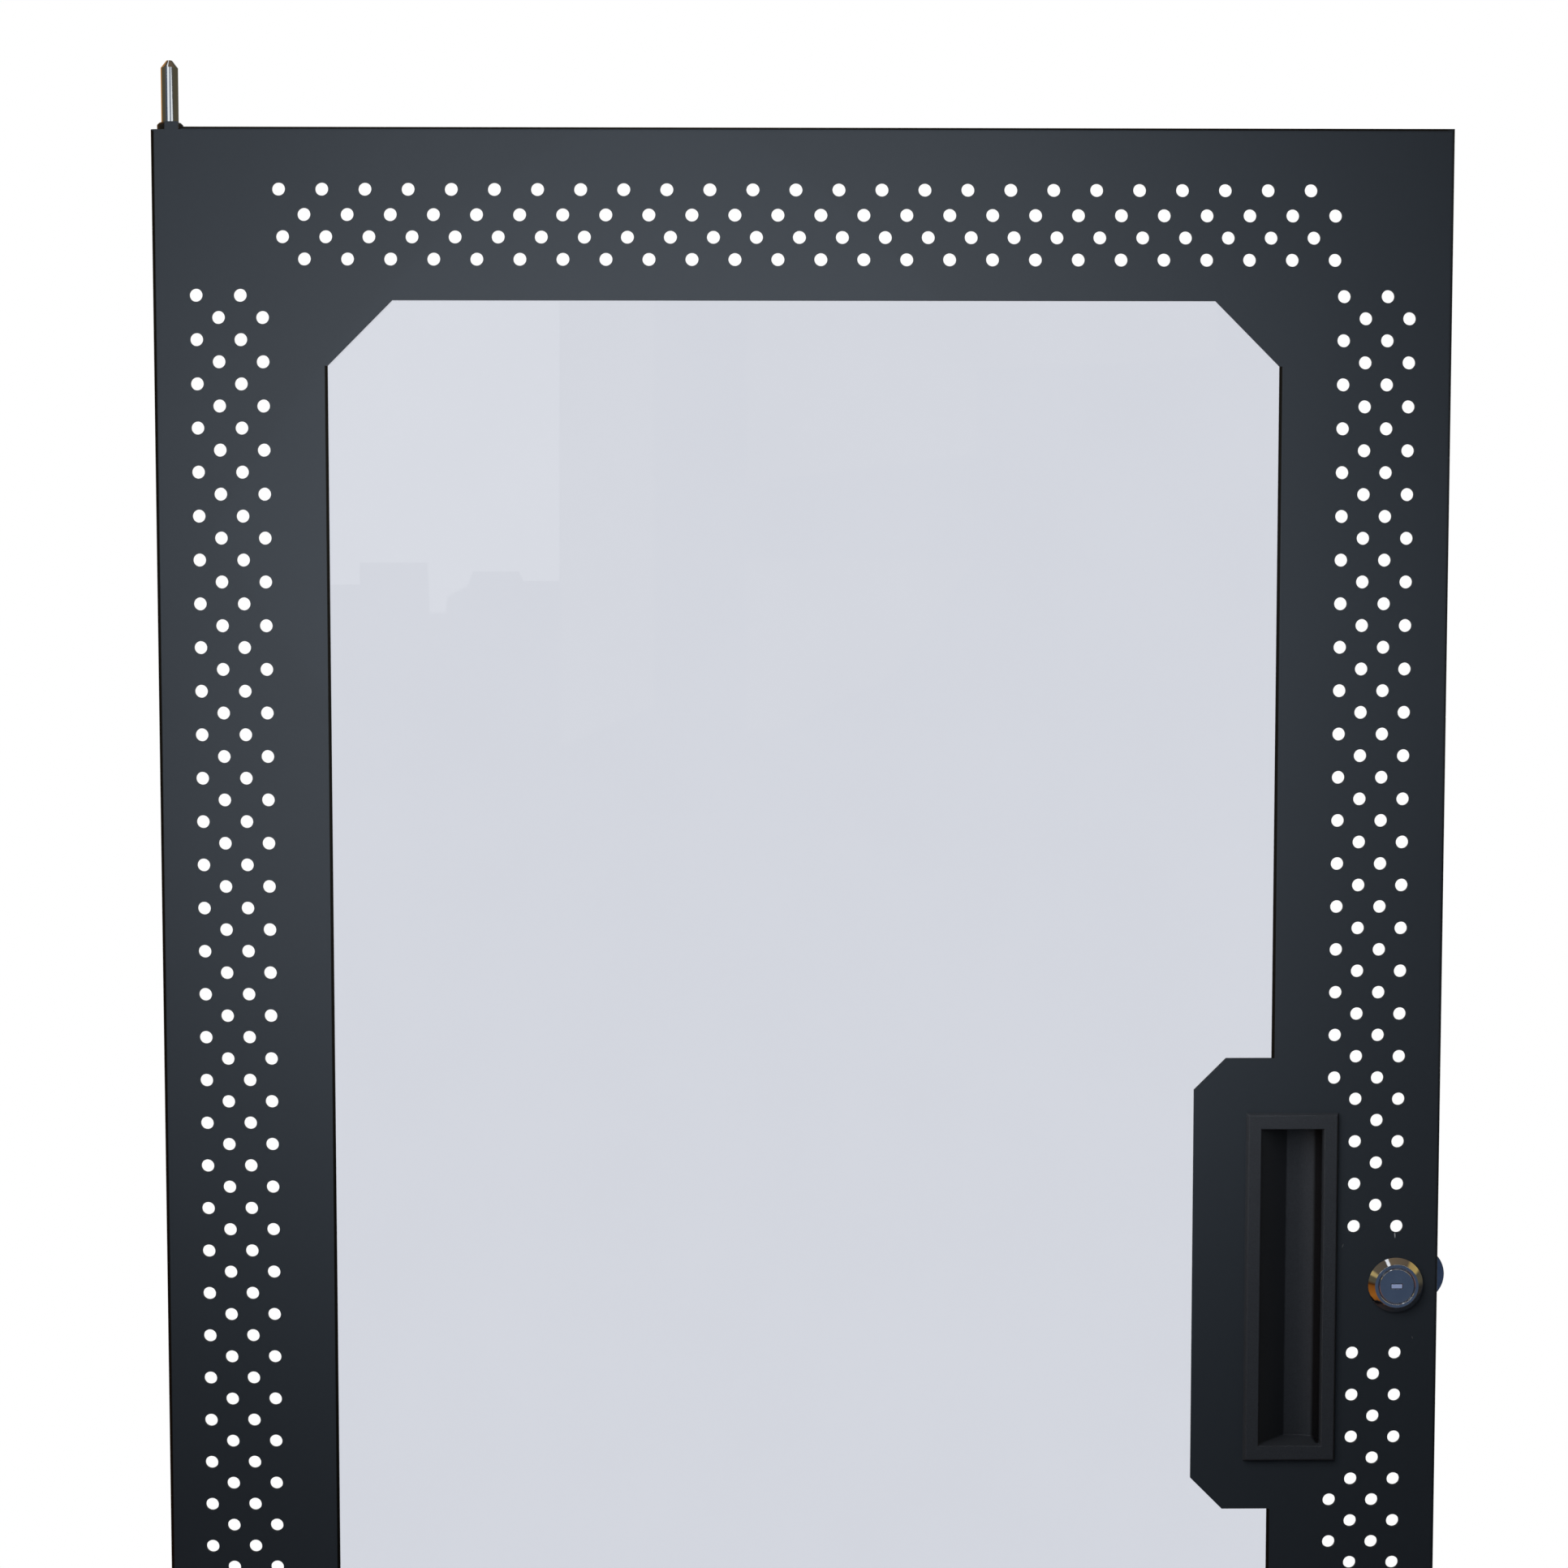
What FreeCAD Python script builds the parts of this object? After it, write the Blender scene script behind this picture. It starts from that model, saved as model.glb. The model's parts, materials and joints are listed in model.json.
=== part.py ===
"""Rack door: a folded, perforated steel sheet with an acrylic window, flush pull, key lock and hinge pins.

The frame: X runs from the hinge axis to the lock edge, Y from the front to the back, Z up.
The origin is on the hinge axis, where the lower bush seats on the rack.
"""
import FreeCAD
import Part
import Sketcher
import os
import re

# Driving sizes, in millimetres unless the name counts something.
SIZES = {
    # folded sheet
    "door_width": 600,
    "door_height": 1080,
    "door_depth": 19,
    "sheet_gauge": 1.5,
    "bend_inner_radius": 0.5,
    "corner_slit": 0.8,
    # window and handle tab
    "stile_width": 80,
    "rail_height": 79,
    "window_chamfer": 30,
    "tab_reach": 36.5,
    "tab_height": 216,
    "tab_chamfer": 15,
    "hem_width": 13,
    "hem_flat": 0.2,
    # perforation
    "hole_diameter": 6,
    "hole_pitch": 20.25,
    "row_pitch": 19.8,
    "column_inset": 20,
    "column_margin": 72,
    "column_drop": 2.6,
    "row_margin": 55,
    "outer_row_inset": 28.5,
    "outer_row_shift": -4,
    "row_inset": 40,
    "row_shift": 7.5,
    "pull_clear": 10,
    "lock_clear": 25,
    # acrylic pane and what holds it
    "pane_gauge": 3,
    "pane_overlap": 16,
    "tape_width": 10,
    "tape_inset": 2,
    "stud_diameter": 4,
    "stud_length": 8.5,
    "stud_inset": 8,
    "stud_margin": 40,
    "stud_clearance": 0.3,
    "stud_washer_diameter": 9,
    "stud_washer_gauge": 1,
    "stud_nut_flats": 7,
    "stud_nut_height": 3.2,
    # flush pull
    "pull_inset": 70,
    "pull_drop": 1.2,
    "pull_opening_width": 29.5,
    "pull_opening_height": 151.5,
    "pull_depth": 15.4,
    "pull_wall": 2,
    "pull_ramp": 15,
    "pull_lip": 1.6,
    "pull_undercut": 3,
    "pull_curve": 11.2,
    "pull_clearance": 0.3,
    "bezel_side": 7.25,
    "bezel_end": 7.75,
    "bezel_rise": 2.6,
    "bezel_draft": 21,
    "barb_reach": 1.2,
    "barb_length": 6,
    "barb_width": 14,
    "barb_gap": 0.1,
    # key lock
    "lock_inset": 20.4,
    "lock_head_diameter": 26.2,
    "lock_face_diameter": 20.6,
    "lock_head_rise": 4.3,
    "lock_collar": 1.4,
    "barrel_diameter": 19,
    "barrel_clearance": 0.1,
    "lock_washer_diameter": 27.5,
    "lock_washer_gauge": 1,
    "lock_nut_flats": 26,
    "lock_nut_height": 5,
    "plug_head_diameter": 16.8,
    "plug_head_height": 2.5,
    "plug_head_bevel": 0.4,
    "plug_diameter": 12,
    "plug_fit": 0.05,
    "plug_head_gap": 0.1,
    "plug_end_gap": 0.3,
    "key_slot_width": 5.5,
    "key_slot_height": 2.5,
    "key_slot_depth": 9,
    "shutter_gap": 0.2,
    "shutter_gauge": 0.5,
    "shutter_edge": 0.2,
    # cam
    "cam_clear": 1,
    "cam_gauge": 2,
    "cam_reach": 28,
    "cam_end_radius": 13.5,
    "cam_hub_radius": 11,
    "cam_square": 8,
    "cam_square_clearance": 0.1,
    "cam_clamp_gap": 0.1,
    "cam_washer_diameter": 16,
    "cam_washer_gauge": 1,
    "cam_screw_diameter": 4,
    "cam_screw_length": 12,
    "cam_screw_clearance": 0.05,
    "cam_screw_head_diameter": 9,
    "cam_screw_head_height": 3,
    "cam_screw_slot": 1.2,
    # hinge pins, bushes and brackets
    "pin_edge": 7.5,
    "pin_diameter": 8,
    "pin_fit": 0.05,
    "pin_rise": 31,
    "pin_cone_height": 3.4,
    "pin_tip_diameter": 2.7,
    "pin_tail": 12,
    "pin_tail_bevel": 0.8,
    "grease_groove_width": 1,
    "grease_groove_depth": 0.4,
    "bush_rise": 4,
    "upper_bush_rise": 2.6,
    "bush_diameter": 12,
    "bush_bevel": 1,
    "bush_shank_diameter": 9.6,
    "bush_seat_clearance": 0.05,
    "bush_notch_gap": 0.5,
    "guard_width": 6.1,
    "guard_offset": 2.2,
    "guard_rise": 2.1,
    "bracket_gauge": 2,
    "bracket_width": 11.5,
    "bracket_reach": 16,
    "bracket_drop": 2,
    "bracket_bend_radius": 0.5,
    "bracket_height": 50,
    "foot_height": 34,
    "clip_gap": 0.2,
    "clip_gauge": 1.2,
    "clip_diameter": 11,
    "clip_groove_depth": 0.6,
    "clip_clearance": 0.05,
    "clip_mouth": 5,
    "spring_wire": 1,
    "spring_diameter": 9.8,
    "spring_turns": 6,
    "knob_drop": 8,
    "knob_stem_diameter": 4,
    "knob_stem_clearance": 0.05,
    "knob_diameter": 12,
    "knob_length": 10,
    "knob_gap": 1.5,
    "knob_edge": 2,
    "foot_pin_length": 14,
    "foot_pin_cone": 1.5,
    "foot_stud_diameter": 6,
    "foot_nut_flats": 10,
    "foot_nut_height": 5,
    "foot_stud_over": 1.5,
    # how far a cutting outline runs past the material
    "cut_over": 1,
}

# Levels and lines worked out from the driving sizes.
PLACES = {
    "hinge_edge": "-pin_edge",
    "lock_edge": "door_width - pin_edge",
    "door_centre": "door_width / 2 - pin_edge",
    "front": "-door_depth / 2",
    "rear": "door_depth / 2",
    "inside": "front + sheet_gauge",
    "bend_outer_radius": "bend_inner_radius + sheet_gauge",
    "door_bottom": "bush_rise",
    "door_top": "bush_rise + door_height",
    "middle": "bush_rise + door_height / 2",
    "column_middle": "middle - column_drop",
    "window_left": "hinge_edge + stile_width",
    "window_right": "lock_edge - stile_width",
    "window_bottom": "door_bottom + rail_height",
    "window_top": "door_top - rail_height",
    "hem_bottom": "window_bottom + window_chamfer",
    "hem_top": "window_top - window_chamfer",
    "tab_left": "window_right - tab_reach",
    "tab_bottom": "middle - tab_height / 2",
    "tab_top": "middle + tab_height / 2",
    "pane_front": "front + 2 * sheet_gauge",
    "pane_back": "pane_front + pane_gauge",
    "stud_hole_radius": "stud_diameter / 2 + stud_clearance",
    "stud_washer_back": "pane_back + stud_washer_gauge",
    "pull_axis": "lock_edge - pull_inset",
    "pull_level": "middle - pull_drop",
    "pull_half": "pull_opening_width / 2",
    "pull_outer_left": "pull_half + pull_wall",
    "pull_outer_right": "pull_half + pull_undercut + pull_wall",
    "pull_outer_end": "pull_opening_height / 2 + pull_wall",
    "pull_curve_axis": "pull_half + pull_undercut - pull_curve",
    "pull_lip_back": "pull_depth - pull_curve",
    "bezel_half_width": "pull_half + bezel_side",
    "bezel_half_height": "pull_opening_height / 2 + bezel_end",
    "lock_axis": "lock_edge - lock_inset",
    "lock_face": "front - lock_head_rise",
    "cam_front": "rear + cam_clear",
    "cam_back": "cam_front + cam_gauge",
    "barrel_end": "cam_front - plug_end_gap",
    "cam_washer_back": "cam_back + cam_washer_gauge",
    "side_holes": "floor((door_height / 2 - column_margin) / hole_pitch)",
    "row_holes": "floor((door_width - 2 * row_margin) / row_pitch) + 1",
    "pull_skip": "ceil((bezel_half_height + pull_clear) / hole_pitch)",
    "lock_skip": "ceil(lock_clear / hole_pitch)",
    "lock_half_skip": "ceil(lock_clear / hole_pitch - 0.5)",
    "pin_radius": "pin_diameter / 2",
    "bush_top": "door_top + upper_bush_rise",
    "pin_tip": "door_top + pin_rise",
    "bracket_top": "door_top - bracket_drop",
    "bracket_base": "bracket_top - bracket_height",
    "guide_top": "bracket_base + bracket_gauge",
    "leg_under": "bracket_top - bracket_gauge",
    "foot_under": "door_bottom + bracket_drop",
    "foot_over": "foot_under + bracket_gauge",
    "clip_top": "leg_under - clip_gap",
    "clip_under": "clip_top - clip_gauge",
    "pin_end": "bracket_base - pin_tail",
    "knob_level": "bracket_base - knob_drop",
    "knob_front": "rear + knob_gap",
}

doc = FreeCAD.newDocument("rack_door")
sheet = doc.addObject("Spreadsheet::Sheet", "Sizes")
for row, (alias, size) in enumerate(SIZES.items(), start=1):
    sheet.set(f"A{row}", alias)
    sheet.set(f"B{row}", str(size))
    sheet.setAlias(f"B{row}", alias)
doc.recompute()


def formula(text):
    """The text as an expression: sizes become cells of the sheet, places are written out."""

    def cell(match):
        word = match.group(0)
        if word in SIZES:
            return f"Sizes.{word}"
        if word in PLACES:
            return f"({formula(PLACES[word])})"
        return word

    return re.sub(r"[a-z_]+", cell, text)


def number(text):
    """The value of a formula now, for first positions and for picking edges."""
    return float(sheet.evalExpression(formula(text)))


def bind(item, prop, text):
    item.setExpression(prop, formula(text))


def place(item, x="0", y="0", z="0"):
    for axis, text in zip("xyz", (x, y, z)):
        bind(item, f"Placement.Base.{axis}", text)


# Sketches


def new_body(name):
    body = doc.addObject("PartDesign::Body", name)
    body.Label = name
    return body


def new_sketch(body, role, name, level="0"):
    """A sketch on one of the body's own planes, moved along the plane's normal."""
    plane = next(item for item in body.Origin.OriginFeatures if item.Role == role)
    sketch = body.newObject("Sketcher::SketchObject", name)
    sketch.AttachmentSupport = [(plane, "")]
    sketch.MapMode = "FlatFace"
    bind(sketch, "AttachmentOffset.Base.z", level)
    return sketch


def front_sketch(body, name, y="0"):
    """A sketch in X and Z at depth y; pads grow to the front, pockets cut to the back."""
    return new_sketch(body, "XZ_Plane", name, f"-({y})")


def dimension(sketch, constraint, text):
    index = sketch.addConstraint(constraint)
    bind(sketch, f"Constraints[{index}]", text)


def pin_point(sketch, curve, end, across, up):
    dimension(sketch, Sketcher.Constraint("DistanceX", -1, 1, curve, end, number(across)), across)
    dimension(sketch, Sketcher.Constraint("DistanceY", -1, 1, curve, end, number(up)), up)


def outline(sketch, corners, arcs=None):
    """A closed outline, anticlockwise; arcs gives, by corner, the centre and radius of the arc after it."""
    arcs = arcs or {}
    spots = [FreeCAD.Vector(number(across), number(up), 0) for across, up in corners]
    first = sketch.GeometryCount
    count = len(corners)
    for i, spot in enumerate(spots):
        after = spots[(i + 1) % count]
        if i in arcs:
            across, up, radius = arcs[i]
            centre = FreeCAD.Vector(number(across), number(up), 0)
            full = Part.Circle(centre, FreeCAD.Vector(0, 0, 1), number(radius))
            curve = Part.ArcOfCircle(full, full.parameter(spot), full.parameter(after))
        else:
            curve = Part.LineSegment(spot, after)
        sketch.addGeometry(curve)
    for i in range(count):
        sketch.addConstraint(Sketcher.Constraint("Coincident", first + i, 2, first + (i + 1) % count, 1))
    for i, (across, up) in enumerate(corners):
        pin_point(sketch, first + i, 1, across, up)
    for i, (across, up, radius) in arcs.items():
        dimension(sketch, Sketcher.Constraint("Radius", first + i, number(radius)), radius)


def rectangle(sketch, left, low, right, high):
    outline(sketch, [(left, low), (right, low), (right, high), (left, high)])


def circle(sketch, across, up, radius):
    centre = FreeCAD.Vector(number(across), number(up), 0)
    curve = sketch.addGeometry(Part.Circle(centre, FreeCAD.Vector(0, 0, 1), number(radius)))
    pin_point(sketch, curve, 3, across, up)
    dimension(sketch, Sketcher.Constraint("Radius", curve, number(radius)), radius)


def hexagon(sketch, across, up, radius):
    corners = []
    for angle in range(30, 390, 60):
        corners.append((f"{across} + ({radius}) * cos({angle})", f"{up} + ({radius}) * sin({angle})"))
    outline(sketch, corners)


# Features


def feature(body, kind, name, sketch):
    item = body.newObject(f"PartDesign::{kind}", name)
    item.Profile = sketch
    return item


def extrude(body, kind, name, sketch, length, backward=False, symmetric=False):
    """A Pad or a Pocket of a stated length."""
    item = feature(body, kind, name, sketch)
    item.SideType = "Symmetric" if symmetric else "One side"
    item.Reversed = backward
    bind(item, "Length", length)
    doc.recompute()
    return item


def cut_through(body, name, sketch):
    item = feature(body, "Pocket", name, sketch)
    item.Type = "ThroughAll"
    doc.recompute()
    return item


def turn(body, sketch):
    """The sketch turned about its own vertical axis."""
    item = feature(body, "Revolution", f"{body.Name}_turned", sketch)
    item.ReferenceAxis = (sketch, ["V_Axis"])
    doc.recompute()
    return item


def edges_where(item, test):
    names = [f"Edge{i}" for i, edge in enumerate(item.Shape.Edges, start=1) if test(edge.BoundBox)]
    if not names:
        raise RuntimeError(f"no edge to round on {item.Name}")
    return names


def near(value, text):
    return abs(value - number(text)) < 1e-4


def round_edges(body, name, item, test, radius):
    fillet = body.newObject("PartDesign::Fillet", name)
    fillet.Base = (item, edges_where(item, test))
    bind(fillet, "Radius", radius)
    doc.recompute()
    return fillet


def turned_about_z(name, profile):
    """A turned piece on the hinge axis, from radius and height pairs."""
    body = new_body(name)
    sketch = front_sketch(body, f"{name}_profile")
    outline(sketch, profile)
    turn(body, sketch)
    return body


def turned_about_y(name, profile, x, z):
    """A turned piece on an axis from front to back, from radius and depth pairs."""
    body = new_body(name)
    sketch = new_sketch(body, "XY_Plane", f"{name}_profile")
    outline(sketch, profile)
    turn(body, sketch)
    place(body, x=x, z=z)
    return body


def ring(inner, outer, low, high):
    """The profile of a plain ring."""
    return [(inner, low), (outer, low), (outer, high), (inner, high)]


def hex_corner(flats):
    return f"{flats} / 2 / cos(30)"


# Folded sheet


def door_skin():
    """The folded sheet with its border punched."""
    return bored("door_skin", folded_blank(), border_punches())


def folded_blank():
    body = new_body("folded_blank")
    blank = front_sketch(body, "sheet_outline", "rear")
    rectangle(blank, "hinge_edge", "door_bottom", "lock_edge", "door_top")
    block = extrude(body, "Pad", "sheet_block", blank, "door_depth")

    def front_edge(box):
        return near(box.YMin, "front") and near(box.YMax, "front")

    bends = round_edges(body, "bends", block, front_edge, "bend_outer_radius")
    fold_sheet(body, bends)
    add_hems(body)
    cut_window(body)
    round_hems(body)
    cut_corners(body)
    add_bush_guard(body)
    cut_pull_and_lock(body)
    return body


def fold_sheet(body, bends):
    """The front and its four return flanges, all of one gauge, open at the back."""
    faces = enumerate(bends.Shape.Faces, start=1)
    back = [f"Face{i}" for i, face in faces if near(face.BoundBox.YMin, "rear")]
    fold = body.newObject("PartDesign::Thickness", "folded_sheet")
    fold.Base = (bends, back)
    fold.Reversed = True
    bind(fold, "Value", "sheet_gauge")
    doc.recompute()


def add_hems(body):
    """The sheet doubled back on itself along the upright window edges."""
    sketch = front_sketch(body, "hem_outline", "inside")
    rectangle(sketch, "window_left - hem_width", "hem_bottom", "window_left", "hem_top")
    rectangle(sketch, "window_right", "hem_bottom", "window_right + hem_width", "tab_bottom")
    rectangle(sketch, "window_right", "tab_top", "window_right + hem_width", "hem_top")
    extrude(body, "Pad", "hems", sketch, "sheet_gauge", backward=True)


def cut_window(body):
    sketch = front_sketch(body, "window_outline", "front - cut_over")
    corners = [
        ("window_left + window_chamfer", "window_bottom"),
        ("window_right - window_chamfer", "window_bottom"),
        ("window_right", "hem_bottom"),
        ("window_right", "tab_bottom"),
        ("tab_left + tab_chamfer", "tab_bottom"),
        ("tab_left", "tab_bottom + tab_chamfer"),
        ("tab_left", "tab_top - tab_chamfer"),
        ("tab_left + tab_chamfer", "tab_top"),
        ("window_right", "tab_top"),
        ("window_right", "hem_top"),
        ("window_right - window_chamfer", "window_top"),
        ("window_left + window_chamfer", "window_top"),
        ("window_left", "hem_top"),
        ("window_left", "hem_bottom"),
    ]
    outline(sketch, corners)
    cut_through(body, "window", sketch)


def round_hems(body):
    """The round nose of each hem."""

    def nose(box):
        upright = near(box.YMin, "front") or near(box.YMin, "pane_front")
        upright = upright and box.YLength < 1e-4 and box.XLength < 1e-4
        return upright and (near(box.XMin, "window_left") or near(box.XMin, "window_right"))

    round_edges(body, "hem_noses", body.Tip, nose, "sheet_gauge - hem_flat / 2")


def cut_corners(body):
    """Notches for the hinge bushes, and slits between the flanges at the lock side."""
    notches = front_sketch(body, "bush_notch_outline", "front - cut_over")
    left = "hinge_edge - cut_over"
    right = "bush_diameter / 2 + bush_notch_gap"
    rectangle(notches, left, "door_bottom - cut_over", right, "door_bottom + sheet_gauge")
    rectangle(notches, left, "door_top - sheet_gauge", right, "door_top + cut_over")
    cut_through(body, "bush_notches", notches)

    slits = front_sketch(body, "slit_outline", "rear")
    right = "lock_edge - sheet_gauge"
    left = f"{right} - corner_slit"
    rectangle(slits, left, "door_bottom - cut_over", right, "door_bottom + bend_outer_radius")
    rectangle(slits, left, "door_top - bend_outer_radius", right, "door_top + cut_over")
    extrude(body, "Pocket", "corner_slits", slits, "door_depth - bend_outer_radius", backward=True)


def add_bush_guard(body):
    """A tongue of the front that stands up before the upper bush."""
    sketch = front_sketch(body, "bush_guard_outline", "inside")
    rectangle(
        sketch,
        "guard_offset - guard_width / 2",
        "door_top - bend_outer_radius",
        "guard_offset + guard_width / 2",
        "door_top + guard_rise",
    )
    extrude(body, "Pad", "bush_guard", sketch, "sheet_gauge")


def cut_pull_and_lock(body):
    sketch = front_sketch(body, "fitting_outline", "front - cut_over")
    rectangle(
        sketch,
        "pull_axis - pull_outer_left - pull_clearance",
        "pull_level - pull_outer_end - pull_clearance",
        "pull_axis + pull_outer_right + pull_clearance",
        "pull_level + pull_outer_end + pull_clearance",
    )
    circle(sketch, "lock_axis", "middle", "barrel_diameter / 2 + barrel_clearance")
    cut_through(body, "fitting_holes", sketch)


def upright_row(across, lowest, count):
    pitch = number("hole_pitch")
    return [(number(across), number(lowest) + i * pitch) for i in range(round(number(count)))]


def level_row(shift, up):
    pitch = number("row_pitch")
    first = number(f"door_centre - (row_holes - 1) * row_pitch / 2 + {shift}")
    return [(first + i * pitch, number(up)) for i in range(round(number("row_holes")))]


def hole_spots():
    """Four staggered columns up each stile and four rows on each rail, clear of the pull and the lock."""
    spots = []
    lowest = "column_middle - side_holes * hole_pitch"
    lowest_odd = f"{lowest} + hole_pitch / 2"

    left = "hinge_edge + column_inset"
    for column in (left, f"{left} + hole_pitch"):
        spots += upright_row(column, lowest, "2 * side_holes + 1")
        spots += upright_row(f"{column} + hole_pitch / 2", lowest_odd, "2 * side_holes")

    right = "lock_edge - column_inset"
    for column in (right, f"{right} - hole_pitch"):
        for start in (lowest_odd, "column_middle + (lock_half_skip + 0.5) * hole_pitch"):
            spots += upright_row(column, start, "side_holes - lock_half_skip")
    for start in (lowest, "column_middle + lock_skip * hole_pitch"):
        spots += upright_row(f"{right} - hole_pitch / 2", start, "side_holes - lock_skip + 1")
    for start in (lowest, "column_middle + pull_skip * hole_pitch"):
        spots += upright_row(f"{right} - 3 * hole_pitch / 2", start, "side_holes - pull_skip + 1")

    rows = [
        ("outer_row_shift", "outer_row_inset"),
        ("row_shift", "row_inset"),
        ("row_shift - row_pitch / 2", "row_inset + hole_pitch / 2"),
        ("row_shift", "row_inset + hole_pitch"),
    ]
    for shift, inset in rows:
        spots += level_row(shift, f"door_top - ({inset})")
        spots += level_row(shift, f"door_bottom + {inset}")
    return spots


def border_punches():
    """The punches of the border as one group; each has six flats and the open area of the round hole."""
    radius = number("hole_diameter / 2 * sqrt(2 * pi / (3 * sqrt(3)))")
    level = number("front - cut_over")
    stroke = FreeCAD.Vector(0, number("sheet_gauge + 2 * cut_over"), 0)
    prisms = []
    for x, z in hole_spots():
        spot = FreeCAD.Vector(x, level, z)
        corners = []
        for angle in range(30, 450, 60):
            turn_to = FreeCAD.Rotation(FreeCAD.Vector(0, 1, 0), angle)
            corners.append(spot + turn_to.multVec(FreeCAD.Vector(radius, 0, 0)))
        prisms.append(Part.Face(Part.makePolygon(corners)).extrude(stroke))
    item = doc.addObject("Part::Feature", "border_punches")
    item.Shape = Part.Compound(prisms)
    return item


# Acrylic pane and what holds it


def stud_spots():
    """Where the studs stand: on the left hem, and on the right hem above and below the tab."""
    step = "(hem_top - hem_bottom - 2 * stud_margin) / 3"
    left = "window_left - stud_inset"
    right = "window_right + stud_inset"
    spots = [(left, f"hem_bottom + stud_margin + {i} * {step}") for i in range(4)]
    for edge in ("hem_bottom +", "tab_bottom -", "tab_top +", "hem_top -"):
        spots.append((right, f"{edge} stud_margin"))
    return spots


def acrylic_pane():
    body = new_body("acrylic_pane")
    sketch = front_sketch(body, "pane_outline", "pane_front")
    corners = [
        ("window_left - pane_overlap", "window_bottom - pane_overlap"),
        ("window_right + pane_overlap", "window_bottom - pane_overlap"),
        ("window_right + pane_overlap", "tab_bottom + pane_overlap"),
        ("tab_left + pane_overlap", "tab_bottom + pane_overlap"),
        ("tab_left + pane_overlap", "tab_top - pane_overlap"),
        ("window_right + pane_overlap", "tab_top - pane_overlap"),
        ("window_right + pane_overlap", "window_top + pane_overlap"),
        ("window_left - pane_overlap", "window_top + pane_overlap"),
    ]
    outline(sketch, corners)
    for across, up in stud_spots():
        circle(sketch, across, up, "stud_hole_radius")
    extrude(body, "Pad", "pane_sheet", sketch, "pane_gauge", backward=True)
    return body


def group(name, members):
    item = doc.addObject("Part::Compound", name)
    item.Label = name
    item.Links = members
    doc.recompute()
    return item


def strip(name, left, low, wide, tall):
    box = doc.addObject("Part::Box", name)
    bind(box, "Length", wide)
    bind(box, "Width", "sheet_gauge")
    bind(box, "Height", tall)
    place(box, left, "inside", low)
    return box


def pane_foam_tape():
    """Strips that fill the gap between the sheet and the pane where there is no hem."""
    left = "window_left + window_chamfer"
    wide = "window_right - window_left - 2 * window_chamfer"
    strips = [
        strip("tape_top", left, "window_top + tape_inset", wide, "tape_width"),
        strip("tape_bottom", left, "window_bottom - tape_inset - tape_width", wide, "tape_width"),
        strip(
            "tape_tab",
            "tab_left + tape_inset",
            "tab_bottom + tab_chamfer",
            "tape_width",
            "tab_height - 2 * tab_chamfer",
        ),
    ]
    return group("pane_foam_tape", strips)


def standing(kind, name, spot, y, height):
    """A primitive that stands on the pane's fixing line and points to the back."""
    item = doc.addObject(kind, name)
    item.Placement.Rotation = FreeCAD.Rotation(FreeCAD.Vector(1, 0, 0), -90)
    across, up = spot
    place(item, across, y, up)
    bind(item, "Height", height)
    return item


def rod(name, spot, y, height, radius):
    item = standing("Part::Cylinder", name, spot, y, height)
    bind(item, "Radius", radius)
    return item


def bored(name, outer, bore):
    item = doc.addObject("Part::Cut", name)
    item.Label = name
    item.Base = outer
    item.Tool = bore
    item.Refine = False
    return item


def pane_weld_studs():
    studs = []
    for i, spot in enumerate(stud_spots()):
        studs.append(rod(f"stud_{i}", spot, "pane_front", "stud_length", "stud_diameter / 2"))
    return group("pane_weld_studs", studs)


def pane_washers():
    washers = []
    for i, spot in enumerate(stud_spots()):
        disc = rod(f"disc_{i}", spot, "pane_back", "stud_washer_gauge", "stud_washer_diameter / 2")
        bore = rod(f"disc_bore_{i}", spot, "pane_back", "stud_washer_gauge", "stud_hole_radius")
        washers.append(bored(f"washer_{i}", disc, bore))
    return group("pane_washers", washers)


def pane_nuts():
    nuts = []
    for i, spot in enumerate(stud_spots()):
        prism = standing("Part::Prism", f"hex_{i}", spot, "stud_washer_back", "stud_nut_height")
        prism.Polygon = 6
        bind(prism, "Circumradius", hex_corner("stud_nut_flats"))
        bore = rod(f"hex_bore_{i}", spot, "stud_washer_back", "stud_nut_height", "stud_diameter / 2")
        nuts.append(bored(f"nut_{i}", prism, bore))
    return group("pane_nuts", nuts)


# Flush pull


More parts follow.
